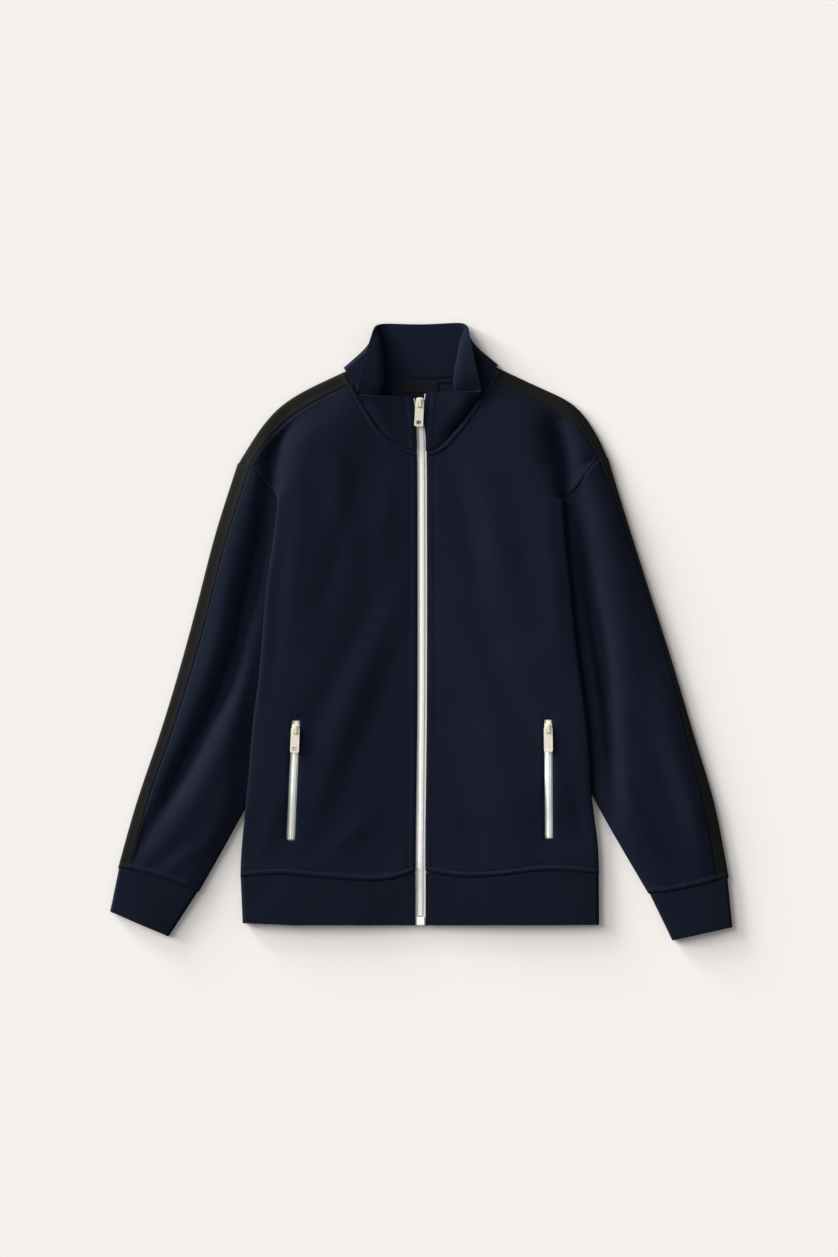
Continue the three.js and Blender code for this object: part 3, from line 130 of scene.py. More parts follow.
NAVY = (0.0046, 0.0066, 0.0150, 1)
NAVY_LIGHT = (0.0082, 0.0110, 0.0226, 1)

# How a solid's triangles are merged and paired, and how its cut edges and their walls are told.
MERGE = 1e-6
PAIR_TURN = math.radians(50)
PAIR_SKEW = math.radians(150)
EDGE_TURN = math.radians(60)
UPWARD = 0.4
WALL_WIDTH = 3.4 * MM

# How far a cut edge is brought up against its neighbour, and how crisp it stays.
OVERLAP = 0.35 * MM
HELD = 0.9
SHADE_TURN = math.radians(50)

# How seams are found and followed, in mm; heights count for less there than places.
RIM_STEPS = 12
SEAM_REACH = 2.2
WIDE_REACH = 3.5
UPPER_RIM = 4
LINE_ROUNDINGS = 3
LINE_STEP = 0.8
LEVELLED = np.array([1, 1, 0.35])

# The lower layer ends and the upper one begins between these heights, in mm.
BETWEEN_LAYERS = (3, 6)
CREASE_STEPS = 70

# A crease rises and falls as half a wave does, without this share of it at either end.
CREASE_END = 0.08

# A soft ridge, or a trough where its height is negative. It runs from its start, drawn towards
# its bend, to its end. These are places on the jacket, and with its width and height are in mm.
Crease = namedtuple("Crease", "start bend end width height")


def merged(node):
    """A solid's surface, its loose triangles merged."""
    bm = bmesh.new()
    bm.from_mesh(frame["nodes"][node].data)
    bmesh.ops.remove_doubles(bm, verts=bm.verts, dist=MERGE)
    return bm


def new_piece(piece_name, mesh):
    """A new piece of the scene with a mesh."""
    piece = bpy.data.objects.new(piece_name, mesh)
    bpy.context.scene.collection.objects.link(piece)
    return piece


def bare_copy(node, piece_name):
    """A new piece with a solid's surface, its triangles paired into quads."""
    bm = merged(node)
    bmesh.ops.join_triangles(
        bm, faces=bm.faces, angle_face_threshold=PAIR_TURN, angle_shape_threshold=PAIR_SKEW,
    )
    bm.verts.index_update()
    points = [v.co.copy() for v in bm.verts]
    faces = [[v.index for v in face.verts] for face in bm.faces]
    bm.free()
    mesh = bpy.data.meshes.new(piece_name)
    mesh.from_pydata(points, [], faces)
    return new_piece(piece_name, mesh)


def is_wall(face, sharp):
    """Whether a face is the narrow wall along a cut edge, between the cloth's two sides."""
    if len(face.edges) != 4:
        return False
    pairs = [(face.edges[0], face.edges[2]), (face.edges[1], face.edges[3])]
    for along, across in (pairs, pairs[::-1]):
        width = (across[0].calc_length() + across[1].calc_length()) / 2
        if along[0] in sharp and along[1] in sharp and width < WALL_WIDTH:
            return True
    return False


def dress_edges(piece, turn=EDGE_TURN, overlap=OVERLAP):
    """Holds the cloth's cut edges crisp, and brings each up against its neighbour in the seam."""
    bm = bmesh.new()
    bm.from_mesh(piece.data)
    bm.normal_update()
    crease = bm.edges.layers.float.new("crease_edge")
    sharp = {edge for edge in bm.edges if edge.calc_face_angle(0) > turn}
    outwards = {}
    for face in bm.faces:
        if is_wall(face, sharp):
            for vert in face.verts:
                outwards[vert] = outwards.get(vert, Vector()) + face.normal
    for edge in sharp:
        edge[crease] = HELD
    for vert, direction in outwards.items():
        vert.co += direction.normalized() * overlap
    bm.to_mesh(piece.data)
    bm.free()


def round_off(piece, levels=2):
    """Rounds a piece off with a subdivision surface."""
    rounding = piece.modifiers.new("rounding", "SUBSURF")
    rounding.levels = levels
    rounding.render_levels = levels
    bpy.ops.object.select_all(action="DESELECT")
    bpy.context.view_layer.objects.active = piece
    piece.select_set(True)
    bpy.ops.object.modifier_apply(modifier=rounding.name)
    piece.select_set(False)


def finish_face(piece):
    """Shades a piece smooth, with its cut edges sharp."""
    piece.data.shade_smooth()
    piece.data.set_sharp_from_angle(angle=SHADE_TURN)


def read_rows(items, kind):
    """A vector of each of a mesh's vertices or faces, a row each."""
    rows = np.empty(len(items) * 3)
    items.foreach_get(kind, rows)
    return rows.reshape(-1, 3)


def read_points(piece):
    """A piece's points, a row each, in mm."""
    return read_rows(piece.data.vertices, "co") / MM


def write_points(piece, points):
    """Puts a piece's points at places in mm."""
    piece.data.vertices.foreach_set("co", (points * MM).ravel())
    piece.data.update()


def smooth(value, low, high):
    """A soft step: 0 up to the low value, 1 from the high value on."""
    share = np.clip((value - low) / (high - low), 0, 1)
    return share * share * (3 - 2 * share)


def crease_lift(points, creases):
    """How far soft ridges and troughs lift each point: each follows a bent line and dies out."""
    lift = np.zeros(len(points))
    share = np.linspace(0, 1, CREASE_STEPS)[:, None]
    for crease in creases:
        start, bend, end = (np.array(place, float) for place in crease[:3])
        line = (1 - share) ** 2 * start + 2 * share * (1 - share) * bend + share ** 2 * end
        gaps = np.hypot(
            points[:, None, 0] - line[None, :, 0], points[:, None, 1] - line[None, :, 1]
        )
        nearest = gaps.argmin(1)
        along = np.sin(math.pi * (CREASE_END + (1 - 2 * CREASE_END) * share[nearest, 0]))
        across = np.exp(-((gaps.min(1) / crease.width) ** 2))
        lift += crease.height * along * across
    return lift


def upward_rim(node):
    """Both ends of each cut edge round the upward side of a solid, in mm."""
    bm = merged(node)
    bm.normal_update()
    ends = [
        [vert.co[:] for vert in edge.verts] for edge in bm.edges
        if edge.calc_face_angle(0) > EDGE_TURN
        and max(face.normal.z for face in edge.link_faces) > UPWARD
    ]
    bm.free()
    return np.array(ends) / MM


def rim_points(node):
    """The points of the cut edges round the upward side of a solid, in mm, each once."""
    return np.unique(upward_rim(node).reshape(-1, 3).round(2), axis=0)


def spread(ends, count):
    """A number of points along each of several straight edges, given by both ends of each."""
    share = np.linspace(0, 1, count)[None, :, None]
    return (ends[:, :1] * (1 - share) + ends[:, 1:] * share).reshape(-1, 3)


def in_order(points):
    """Puts the points of an edge in order, from one of its ends to the other, and rounds it."""
    rest = points - points.mean(0)
    order = [int(np.linalg.norm(rest, axis=1).argmax())]
    waiting = set(range(len(points))) - set(order)
    while waiting:
        here = points[order[-1]]
        order.append(min(waiting, key=lambda i: np.linalg.norm(points[i] - here)))
        waiting.discard(order[-1])
    line = points[order]
    # Each point is drawn a little towards its neighbours, and a new one is set between every two.
    for _ in range(LINE_ROUNDINGS):
        held = line.copy()
        held[1:-1] = (line[:-2] + 6 * line[1:-1] + line[2:]) / 8
        finer = np.empty((2 * len(line) - 1, 3))
        finer[::2] = held
        finer[1::2] = (line[1:] + line[:-1]) / 2
        line = finer
    return line


def seam_line(node, neighbour, reach=SEAM_REACH, above=UPPER_RIM):
    """The line along which a solid meets another, in mm, on the layer above a height."""
    own = rim_points(node)
    samples = spread(upward_rim(neighbour), RIM_STEPS)
    gaps = np.linalg.norm(own[:, None] - samples[None], axis=2).min(1)
    return in_order(own[(gaps < reach) & (own[:, 2] > above)])


def walk(line, pitch):
    """Points along a line, a pitch apart, and the line's direction at each."""
    along = np.concatenate([[0], np.cumsum(np.linalg.norm(np.diff(line, axis=0), axis=1))])
    places = np.arange(pitch / 2, along[-1], pitch)
    points = np.column_stack([np.interp(places, along, line[:, axis]) for axis in range(3)])
    ahead = np.gradient(points, axis=0)
    return points, ahead / np.linalg.norm(ahead, axis=1)[:, None]


def gaps_to(line, points, reach):
    """How far each point is from a line, in mm, up to a reach; heights count for less."""
    samples = walk(line, LINE_STEP)[0] * LEVELLED
    points = points * LEVELLED
    tree = KDTree(len(samples))
    for index, sample in enumerate(samples):
        tree.insert(sample, index)
    tree.balance()
    gaps = np.full(len(points), float(reach))
    inside = np.all((points > samples.min(0) - reach) & (points < samples.max(0) + reach), axis=1)
    for index in np.flatnonzero(inside):
        gaps[index] = min(reach, tree.find(points[index])[2])
    return gaps


# A seam that is stitched down beside its edge, as (distance from the edge, height) in mm.
TOPSTITCHED = ((0, -0.9), (1.2, 0.45), (3.5, 1.05), (5.8, 0.6), (6.8, -0.55), (8.6, 0))

# Faces that look upwards are cut finer up to this margin past a seam's shape, in mm.
SEAM_CUTS = 2
SEAM_MARGIN = 0.5
SEAM_UPWARD = 0.2
UPWARD_FADE = (0.05, 0.45)


def sew(piece, seams):
    """Gives a piece finer faces along its sewn edges, and raises and sinks them there."""
    for _ in range(SEAM_CUTS):
        centres = read_rows(piece.data.polygons, "center") / MM
        near = np.zeros(len(centres), bool)
        for line, profile in seams:
            reach = profile[-1][0] + SEAM_MARGIN
            near |= gaps_to(line, centres, reach) < reach
        near &= read_rows(piece.data.polygons, "normal")[:, 2] > SEAM_UPWARD
        bm = bmesh.new()
        bm.from_mesh(piece.data)
        bm.faces.ensure_lookup_table()
        edges = {edge for index in np.flatnonzero(near) for edge in bm.faces[index].edges}
        bmesh.ops.subdivide_edges(bm, edges=list(edges), cuts=1, use_grid_fill=True)
        bm.to_mesh(piece.data)
        bm.free()
    points = read_points(piece)
    upward = smooth(read_rows(piece.data.vertices, "normal")[:, 2], *UPWARD_FADE)
    lift = np.zeros(len(points))
    for line, profile in seams:
        places, heights = zip(*profile)
        rise = np.interp(gaps_to(line, points, places[-1]), places, heights)
        lift = np.where(np.abs(rise) > np.abs(lift), rise, lift)
    points[:, 2] += lift * upward
    write_points(piece, points)


def math_node(tree, operation, first, second=None, third=None):
    """A Math node; each input is a number or another node's output."""
    node = tree.nodes.new("ShaderNodeMath")
    node.operation = operation
    for socket, value in zip(node.inputs, (first, second, third)):
        if value is None:
            continue
        if isinstance(value, (int, float)):
            socket.default_value = value
        else:
            tree.links.new(value, socket)
    return node.outputs[0]


# The width of the knit's columns, the height of its rows, and how its stitches slant and stand.
WALE = 1.05 * MM
COURSE = 0.8 * MM
STITCH_SLANT = 1.6
LOOP_HEIGHT = 0.25
KNIT_DEPTH = 0.12 * MM
KNIT_STRENGTH = 0.6
FIBRE = {"scale": 900, "detail": 3, "share": 0.6}
CLOUD = {"scale": 14, "detail": 4, "share": 0.4}


def knit_group():
    """Columns of small V stitches, in metres: their height, and the fleck of the yarn."""
    group = bpy.data.node_groups.new("knit_face", "ShaderNodeTree")
    face = group.interface
    face.new_socket("Vector", in_out="INPUT", socket_type="NodeSocketVector")
    face.new_socket("Wale", in_out="INPUT", socket_type="NodeSocketFloat")
    face.new_socket("Course", in_out="INPUT", socket_type="NodeSocketFloat")
    face.new_socket("Height", in_out="OUTPUT", socket_type="NodeSocketFloat")
    face.new_socket("Fleck", in_out="OUTPUT", socket_type="NodeSocketFloat")
    start = group.nodes.new("NodeGroupInput")
    end = group.nodes.new("NodeGroupOutput")
    split = group.nodes.new("ShaderNodeSeparateXYZ")
    group.links.new(start.outputs["Vector"], split.inputs[0])
    column = math_node(group, "DIVIDE", split.outputs["X"], start.outputs["Wale"])
    across = math_node(group, "PINGPONG", column, 0.5)
    row = math_node(group, "DIVIDE", split.outputs["Y"], start.outputs["Course"])
    slanted = math_node(group, "MULTIPLY_ADD", across, STITCH_SLANT, row)
    loops = math_node(group, "SINE", math_node(group, "MULTIPLY", slanted, 2 * math.pi))
    rounded = math_node(group, "SINE", math_node(group, "MULTIPLY", across, 2 * math.pi))
    height = math_node(group, "MULTIPLY_ADD", loops, LOOP_HEIGHT, rounded)
    group.links.new(height, end.inputs["Height"])
    fleck = 0.0
    for noise in (FIBRE, CLOUD):
        spots = group.nodes.new("ShaderNodeTexNoise")
        spots.inputs["Scale"].default_value = noise["scale"]
        spots.inputs["Detail"].default_value = noise["detail"]
        group.links.new(start.outputs["Vector"], spots.inputs["Vector"])
        fleck = math_node(group, "MULTIPLY_ADD", spots.outputs["Fac"], noise["share"], fleck)
    group.links.new(fleck, end.inputs["Fleck"])
    return group


KNIT_FACE = knit_group()


def knit_node(tree, vector, wale, course):
    """The knit's stitches in a material, laid out by a vector."""
    knit = tree.nodes.new("ShaderNodeGroup")
    knit.node_tree = KNIT_FACE
    knit.inputs["Wale"].default_value = wale
    knit.inputs["Course"].default_value = course
    tree.links.new(vector, knit.inputs["Vector"])
    return knit


def dyed(tree, low, high, factor):
    """Gives a material a colour between a low and a high one, by a factor."""
    dye = tree.nodes.new("ShaderNodeMix")
    dye.data_type = "RGBA"
    dye.inputs["A"].default_value = low
    dye.inputs["B"].default_value = high
    tree.links.new(factor, dye.inputs["Factor"])
    tree.links.new(dye.outputs["Result"], tree.nodes["Principled BSDF"].inputs["Base Color"])


def raised(tree, height, depth, strength=1.0):
    """Gives a material a fine relief, as deep as a depth in metres."""
    bump = tree.nodes.new("ShaderNodeBump")
    bump.inputs["Distance"].default_value = depth
    bump.inputs["Strength"].default_value = strength
    tree.links.new(height, bump.inputs["Height"])
    tree.links.new(bump.outputs["Normal"], tree.nodes["Principled BSDF"].inputs["Normal"])


def new_material(name, roughness, specular):
    """A new plain material, and the output that gives places on the jacket."""
    made = bpy.data.materials.new(name)
    made.use_nodes = True
    shader = made.node_tree.nodes["Principled BSDF"]
    shader.inputs["Roughness"].default_value = roughness
    shader.inputs["Specular IOR Level"].default_value = specular
    place = made.node_tree.nodes.new("ShaderNodeTexCoord")
    return made, place.outputs["Object"]


def cloth_material(name, dark, light, wale=WALE, course=COURSE, turn=0.0, depth=KNIT_DEPTH,
                   roughness=0.85, specular=0.05):
    """Knitted cloth: V stitches raised a little, with flecks between a darker and a lighter dye."""
    made, place = new_material(name, roughness, specular)
    tree = made.node_tree
    mapping = tree.nodes.new("ShaderNodeMapping")
    mapping.inputs["Rotation"].default_value = (0, 0, turn)
    tree.links.new(place, mapping.inputs["Vector"])
    knit = knit_node(tree, mapping.outputs["Vector"], wale, course)
    dyed(tree, dark, light, knit.outputs["Fleck"])
    raised(tree, knit.outputs["Height"], depth, KNIT_STRENGTH)
    return made


body_knit = cloth_material("navy_sweatshirt_knit", NAVY, NAVY_LIGHT)

BACK_CREASES = [
    Crease((-60, 230), (-90, 120), (-130, -20), 22, 1.6),
    Crease((70, 210), (110, 60), (120, -90), 26, 1.3),
    Crease((-20, 120), (20, -40), (90, -200), 24, 1.5),
    Crease((-150, -60), (-110, -160), (-100, -270), 20, 1.2),
]
back = bare_copy("back", "back_panel")
dress_edges(back)
round_off(back)
points = read_points(back)
below = 1 - smooth(points[:, 2], *BETWEEN_LAYERS)
points[:, 2] += np.abs(crease_lift(points, BACK_CREASES)) * below
write_points(back, points)
sew(back, [(seam_line("back", "collar", WIDE_REACH, above=0), TOPSTITCHED)])
finish_face(back)
back.data.materials.append(body_knit)
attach(back, "garment")
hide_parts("back")


# ---------------------------------------------------------------------------------------------
# The sleeves. Each is one panel of the same knit, folded in half along its inner edge and closed
# by the black stripe along its outer edge. The body lies over its inner part. The upper layer
# sinks in two long troughs, one beside the body and one from there down the forearm.

SLEEVE_CREASES = {
    "right": [
        Crease((-234, 196), (-246, 120), (-258, 40), 14, 1.2),
        Crease((-197, 190), (-205, 40), (-256, -95), 12, -5.0),
        Crease((-224, -20), (-280, -150), (-362, -278), 13, -4.4),
        Crease((-232, -108), (-262, -170), (-300, -236), 16, 1.4),
        Crease((-290, -60), (-322, -150), (-352, -230), 15, 1.0),
        Crease((-262, 120), (-268, 60), (-281, -10), 18, 0.8),
        Crease((-300, -265), (-318, -285), (-350, -300), 9, -0.9),
        Crease((-270, -262), (-300, -290), (-335, -308), 8, 0.7),
    ],
    "left": [
        Crease((228, 190), (242, 120), (251, 40), 15, 1.2),
        Crease((198, 190), (216, 40), (238, -80), 12, -5.5),
        Crease((226, 20), (240, -120), (246, -235), 11, -5.0),
        Crease((246, 60), (262, -40), (290, -150), 16, 0.9),
        Crease((262, -60), (292, -160), (340, -262), 14, -1.1),
        Crease((238, -140), (262, -215), (305, -290), 14, 1.2),
        Crease((300, -110), (330, -190), (362, -280), 14, 0.8),
        Crease((292, -270), (320, -295), (352, -312), 8, -0.8),
        Crease((310, -250), (335, -280), (372, -298), 8, 0.6),
    ],
}
CREASE_GAIN = 1.7

# In a trough the upper layer sinks by this share of its height above the lower one, at the most.
SINK_SHARE = 0.72

# Heights in mm: the upper layer begins between the first two, the lower one ends between the
# second two.
UPPER_LAYER = (2.4, 5.2)
LOWER_LAYER = (1.9, 3.2)
SLEEVE_TURN = {"right": math.radians(-17), "left": math.radians(17)}

# How far, in mm, the outer fold is turned under at heights on the jacket: it hides some of the
# left stripe, and shows more of the right one.
FOLD_TURN = {
    "right": ((-300, 0), (-240, -2.5), (0, -4), (130, -2.5), (240, 0)),
    "left": ((-300, 0), (-240, 0.5), (-150, 3), (-60, 6), (60, 7), (160, 4.5), (240, 0)),
}

# The turn is full this far in from the outer fold, and has died out by the reach, in mm.
STRIPE_SHOWN = 12.5
FOLD_REACH = 60
OUTLINE_STEP = 6
OUTLINE_POINTS = 9

# A plain seam, as (distance from the edge, height) in mm.
PLAIN_SEAM = ((0, -0.6), (1.4, 0.0), (3.0, 0.18), (5.5, 0))


def outer_fold(side):
    """The heights on the jacket, in mm, and the half widths of the outermost line of a sleeve."""
    mesh = frame["nodes"][f"sleeve_stripe_{side}"].data
    ends = np.array([[mesh.vertices[i].co[:] for i in edge.vertices] for edge in mesh.edges]) / MM
    samples = spread(ends, OUTLINE_POINTS)
    half = OUTLINE_STEP / 2
    heights = np.arange(samples[:, 1].min() + half, samples[:, 1].max(), OUTLINE_STEP)
    widths = [np.abs(samples[np.abs(samples[:, 1] - y) < half, 0]).max() for y in heights]
    return heights, widths


OUTER_FOLDS = {side: outer_fold(side) for side in ("right", "left")}


def turned(points, side):
    """Turns the outer fold of a sleeve, so that more or less of its stripe shows on top."""
    sign = 1 if side == "left" else -1
    inwards = np.interp(points[:, 1], *OUTER_FOLDS[side]) - sign * points[:, 0]
    share = smooth(inwards, 0, STRIPE_SHOWN) * (1 - smooth(inwards, STRIPE_SHOWN, FOLD_REACH))
    moved = points.copy()
    turn = np.interp(points[:, 1], *zip(*FOLD_TURN[side]))
    moved[:, 0] += sign * turn * share * smooth(points[:, 2], *UPPER_LAYER)
    return moved


def uneven(points, size, height, turn=0.0):
    """A slow, shallow unevenness, as cloth has when it is smoothed down by hand."""
    x = (points[:, 0] * math.cos(turn) - points[:, 1] * math.sin(turn)) / size
    y = (points[:, 0] * math.sin(turn) + points[:, 1] * math.cos(turn)) / size
    # Two waves cross, and each wanders along its crests.
    waves = np.sin(2.1 * x + 1.3 * np.sin(1.7 * y)) + np.sin(1.9 * y - 0.8 * np.sin(2.3 * x) + 1)
    return 0.5 * height * waves


for side in ("right", "left"):
    sleeve = bare_copy(f"sleeve_{side}", f"sleeve_panel_{side}")
    dress_edges(sleeve)
    round_off(sleeve)
    points = read_points(sleeve)
    on_top = smooth(points[:, 2], *UPPER_LAYER)
    below = 1 - smooth(points[:, 2], *LOWER_LAYER)
    lift = CREASE_GAIN * crease_lift(points, SLEEVE_CREASES[side])
    lift += uneven(points, size=34, height=0.5, turn=0.4)
    lift = np.maximum(lift, SINK_SHARE * (2 - points[:, 2]))
    points[:, 2] += lift * on_top
    points[:, 2] += np.abs(uneven(points, size=60, height=0.9)) * below
    write_points(sleeve, turned(points, side))
    sew(sleeve, [
        (seam_line(f"sleeve_{side}", f"cuff_{side}"), TOPSTITCHED),
        (turned(seam_line(f"sleeve_{side}", f"sleeve_stripe_{side}"), side), PLAIN_SEAM),
        (seam_line(f"sleeve_{side}", f"front_{side}"), PLAIN_SEAM),
    ])
    finish_face(sleeve)
    sleeve.data.materials.append(cloth_material(
        f"navy_sleeve_knit_{side}", NAVY, NAVY_LIGHT, turn=SLEEVE_TURN[side]))
    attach(sleeve, "garment")
    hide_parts(f"sleeve_{side}")


# ---------------------------------------------------------------------------------------------
# The stripes. Black woven tape, 1.6 mm thick, let in between the panels: one round each folded
# shoulder and one down the outer fold of each sleeve, sewn to the knit along both of its edges.

TAPE_BLACK = (0.0042, 0.0042, 0.0040, 1)
TAPE_WORN = (0.0078, 0.0078, 0.0072, 1)
TAPE_WEAVE = 0.9 * MM
TAPE_DEPTH = 0.08 * MM
WIDE_OVERLAP = 1.2 * MM
black_tape = cloth_material("black_stripe_tape", TAPE_BLACK, TAPE_WORN, wale=TAPE_WEAVE,
                            course=TAPE_WEAVE, depth=TAPE_DEPTH, roughness=0.66, specular=0.09)

for side in ("right", "left"):
    for part in ("sleeve", "shoulder"):
        stripe = bare_copy(f"{part}_stripe_{side}", f"{part}_stripe_tape_{side}")
        dress_edges(stripe, overlap=WIDE_OVERLAP)
        round_off(stripe)
        points = read_points(stripe)
        on_top = smooth(points[:, 2], *UPPER_LAYER)
        points[:, 2] += uneven(points, size=34, height=0.45, turn=0.4) * on_top
        panel, end = ("sleeve", f"cuff_{side}") if part == "sleeve" else ("front", "collar")
        seam = seam_line(f"{part}_stripe_{side}", f"{panel}_{side}")
        if part == "sleeve":
            points = turned(points, side)
            seam = turned(seam, side)
        write_points(stripe, points)
        sew(stripe, [
            (seam, PLAIN_SEAM),
            (seam_line(f"{part}_stripe_{side}", end, WIDE_REACH), TOPSTITCHED),
        ])
        finish_face(stripe)
        stripe.data.materials.append(black_tape)
        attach(stripe, "garment")
        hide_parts(f"{part}_stripe_{side}")


# ---------------------------------------------------------------------------------------------
# The fronts. Two panels of the knit, turned under along the main zip and round the pocket slots.
# They roll under at the sides of the body and lie over the sleeves' heads at the armholes. Soft
# folds run down them from the zip and the shoulders, and die out towards the seams.

FRONT_CREASES = {
    "right": [
        Crease((-18, 80), (-96, -96), (-146, -255), 19, 1.4),
        Crease((-24, -20), (-90, -150), (-118, -262), 15, -0.7),
        Crease((-46, 60), (-118, -60), (-168, -190), 16, -0.9),
        Crease((-112, 240), (-100, 160), (-92, 90), 17, 1.4),
        Crease((-86, 190), (-98, 110), (-130, 20), 15, -1.2),
        Crease((-150, 190), (-158, 120), (-164, 40), 16, 1.0),
        Crease((-176, 120), (-186, 20), (-192, -80), 12, -1.0),
        Crease((-40, 200), (-52, 130), (-48, 60), 15, 1.0),
        Crease((-178, -205), (-192, -245), (-205, -284), 11, 1.0),
        Crease((-60, -225), (-90, -262), (-128, -290), 12, 0.9),
        Crease((-168, 275), (-188, 235), (-194, 178), 12, -3.8),
    ],
    "left": [
        Crease((38, 218), (62, 120), (86, 12), 17, -1.1),
        Crease((64, 230), (92, 130), (108, 30), 18, 1.2),
        Crease((108, 220), (132, 130), (142, 20), 16, -0.9),
        Crease((30, 60), (82, -80), (116, -240), 20, 1.1),
        Crease((60, 30), (128, -90), (176, -250), 18, -0.9),
        Crease((158, 180), (170, 80), (176, -30), 15, 1.0),
        Crease((24, -120), (50, -200), (72, -288), 16, -0.8),
        Crease((186, -150), (196, -210), (206, -280), 12, -0.9),
        Crease((166, 275), (182, 235), (188, 178), 12, -3.8),
    ],
}

FRONT_GAIN = 1.8

# A fold is pressed flat up to the first distance, in mm, and stands free from the second one on.
FREE_OF_ZIP = (8, 26)
FREE_OF_SIDE = (1, 22)
FREE_OF_SEAM = (1, 9)
FREE_OF_TABLE = (2.5, 6.0)

# The outline of the body's side is taken in rows of this height, from the lowest up, in mm.
ROW = {"lowest": -320, "height": 8}
ZIP_EDGE = {"reach": 9, "top": 231}

# A stitched fold beside a zip, as (distance from the edge, height) in mm.
ZIP_FOLD = ((0, -0.4), (1.2, 0.2), (5.5, 0.35), (7.0, 0.25), (7.8, -0.35), (9.4, 0))


def edge_line(node, test):
    """The part of a solid's cut edge that a test picks, as points in mm."""
    own = rim_points(node)
    return in_order(own[test(own[:, 0], own[:, 1])])


def beside_zip(x, y):
    """Where the folded edges of the fronts along the main zip are."""
    return (np.abs(x) < ZIP_EDGE["reach"]) & (y < ZIP_EDGE["top"])


for side, sign in (("right", -1), ("left", 1)):
    front = bare_copy(f"front_{side}", f"front_panel_{side}")
    dress_edges(front)
    round_off(front)
    points = read_points(front)
    outwards = sign * points[:, 0]
    lift = FRONT_GAIN * crease_lift(points, FRONT_CREASES[side])
    lift += uneven(points, size=38, height=0.6, turn=0.7 * sign)
    free = smooth(outwards, *FREE_OF_ZIP) * smooth(points[:, 2], *FREE_OF_TABLE)
    rows = np.floor((points[:, 1] - ROW["lowest"]) / ROW["height"]).astype(int)
    reach = np.zeros(rows.max() + 1)
    np.maximum.at(reach, rows, outwards)
    free *= smooth(reach[rows] - outwards, *FREE_OF_SIDE)
    node = f"front_{side}"
    for neighbour in (f"shoulder_stripe_{side}", f"sleeve_{side}", "collar"):
        gaps = gaps_to(seam_line(node, neighbour), points, FREE_OF_SEAM[1])
        free *= smooth(gaps, *FREE_OF_SEAM)
    points[:, 2] += lift * free
    write_points(front, points)
    sew(front, [
        (seam_line(node, "collar"), TOPSTITCHED),
        (seam_line(node, "hem_band"), TOPSTITCHED),
        (edge_line(node, beside_zip), ZIP_FOLD),
        (seam_line(node, f"shoulder_stripe_{side}"), PLAIN_SEAM),
        (seam_line(node, f"sleeve_{side}"), PLAIN_SEAM),
    ])
    finish_face(front)
    front.data.materials.append(body_knit)
    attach(front, "garment")
    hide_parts(node)


# ---------------------------------------------------------------------------------------------
# The hem and the cuffs. Rib knit folded double, 2.4 mm thick, its ribs running down. The hem is
# one band from the zip round the back to the zip; a cuff is a tube sewn to the sleeve's end.

RIB_DARK = (0.0042, 0.0060, 0.0132, 1)
RIB_LIGHT = (0.0074, 0.0098, 0.0200, 1)
RIB_WALE = 1.4 * MM
RIB_DEPTH = 0.16 * MM

# A rib's crest has a neighbour close by on each side that lies a step lower or higher, and the
# edges that run along the ribs are the long ones.
RIB_EDGE = 1.9 * MM
RIB_STEP = 0.2 * MM
RIB_ABOVE = 4 * MM
RIB_GAIN = 0.15
LENGTHWAYS = 18 * MM
RIB_ROWS = 6
RIB_TURN = math.radians(75)


def rounded_ribs(piece, cuts):
    """Raises the ribs so that they keep their height when rounded, and cuts them into rows."""
    bm = bmesh.new()
    bm.from_mesh(piece.data)
    rises = {}
    for vert in bm.verts:
        beside = [e.other_vert(vert) for e in vert.link_edges if e.calc_length() < RIB_EDGE]
        beside = [v for v in beside if abs(v.co.z - vert.co.z) > RIB_STEP]
        if len(beside) == 2 and vert.co.z > RIB_ABOVE:
            middle = (beside[0].co.z + beside[1].co.z) / 2
            rises[vert] = (vert.co.z - middle) * RIB_GAIN
    for vert, rise in rises.items():
        vert.co.z += rise
    long_edges = [
        e for e in bm.edges
        if abs(e.verts[0].co.y - e.verts[1].co.y) > LENGTHWAYS
    ]
    bmesh.ops.subdivide_edges(bm, edges=long_edges, cuts=cuts, use_grid_fill=True)
    bm.to_mesh(piece.data)
    bm.free()


rib_knit = cloth_material("navy_rib_knit", RIB_DARK, RIB_LIGHT, wale=RIB_WALE, depth=RIB_DEPTH)
for node in ("hem_band", "cuff_right", "cuff_left"):
    rib = bare_copy(node, f"{node}_rib")
    rounded_ribs(rib, RIB_ROWS)
    dress_edges(rib, RIB_TURN)
    round_off(rib)
    points = read_points(rib)
    on_top = smooth(points[:, 2], *BETWEEN_LAYERS)
    points[:, 2] += uneven(points, size=30, height=0.4, turn=0.3) * on_top
    write_points(rib, points)
    finish_face(rib)
    rib.data.materials.append(rib_knit)
    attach(rib, "garment")
    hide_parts(node)


# ---------------------------------------------------------------------------------------------
# The collar. A stand of two layers of knit, 3 mm thick, sewn to the neck. It lies open at the
# front, its upper part is rolled outwards at each side, and behind it lies flat on the table.

# The left end of the collar is drawn over to the zip by this, in mm. The draw dies out between
# two distances from the middle, begins between two heights on the jacket and ends between two.
ZIP_SHUT = 5.5
NEAR_ZIP = (12, 40)
DRAW_BEGINS = (240, 285)
DRAW_ENDS = (306, 316)

# The collar's upper layer begins between these heights, in mm.
COLLAR_TOP = (5, 8)
COLLAR_EDGE = {"reach": 14, "top": 306}

# The far side of a seam, as (distance from the edge, height) in mm.
SUNK = ((0, -0.7), (1.6, -0.05), (2.6, 0))

COLLAR_CREASES = [
    Crease((30, 243), (52, 258), (70, 288), 7, -3.2),
    Crease((-28, 240), (-52, 262), (-68, 290), 9, 0.8),
]


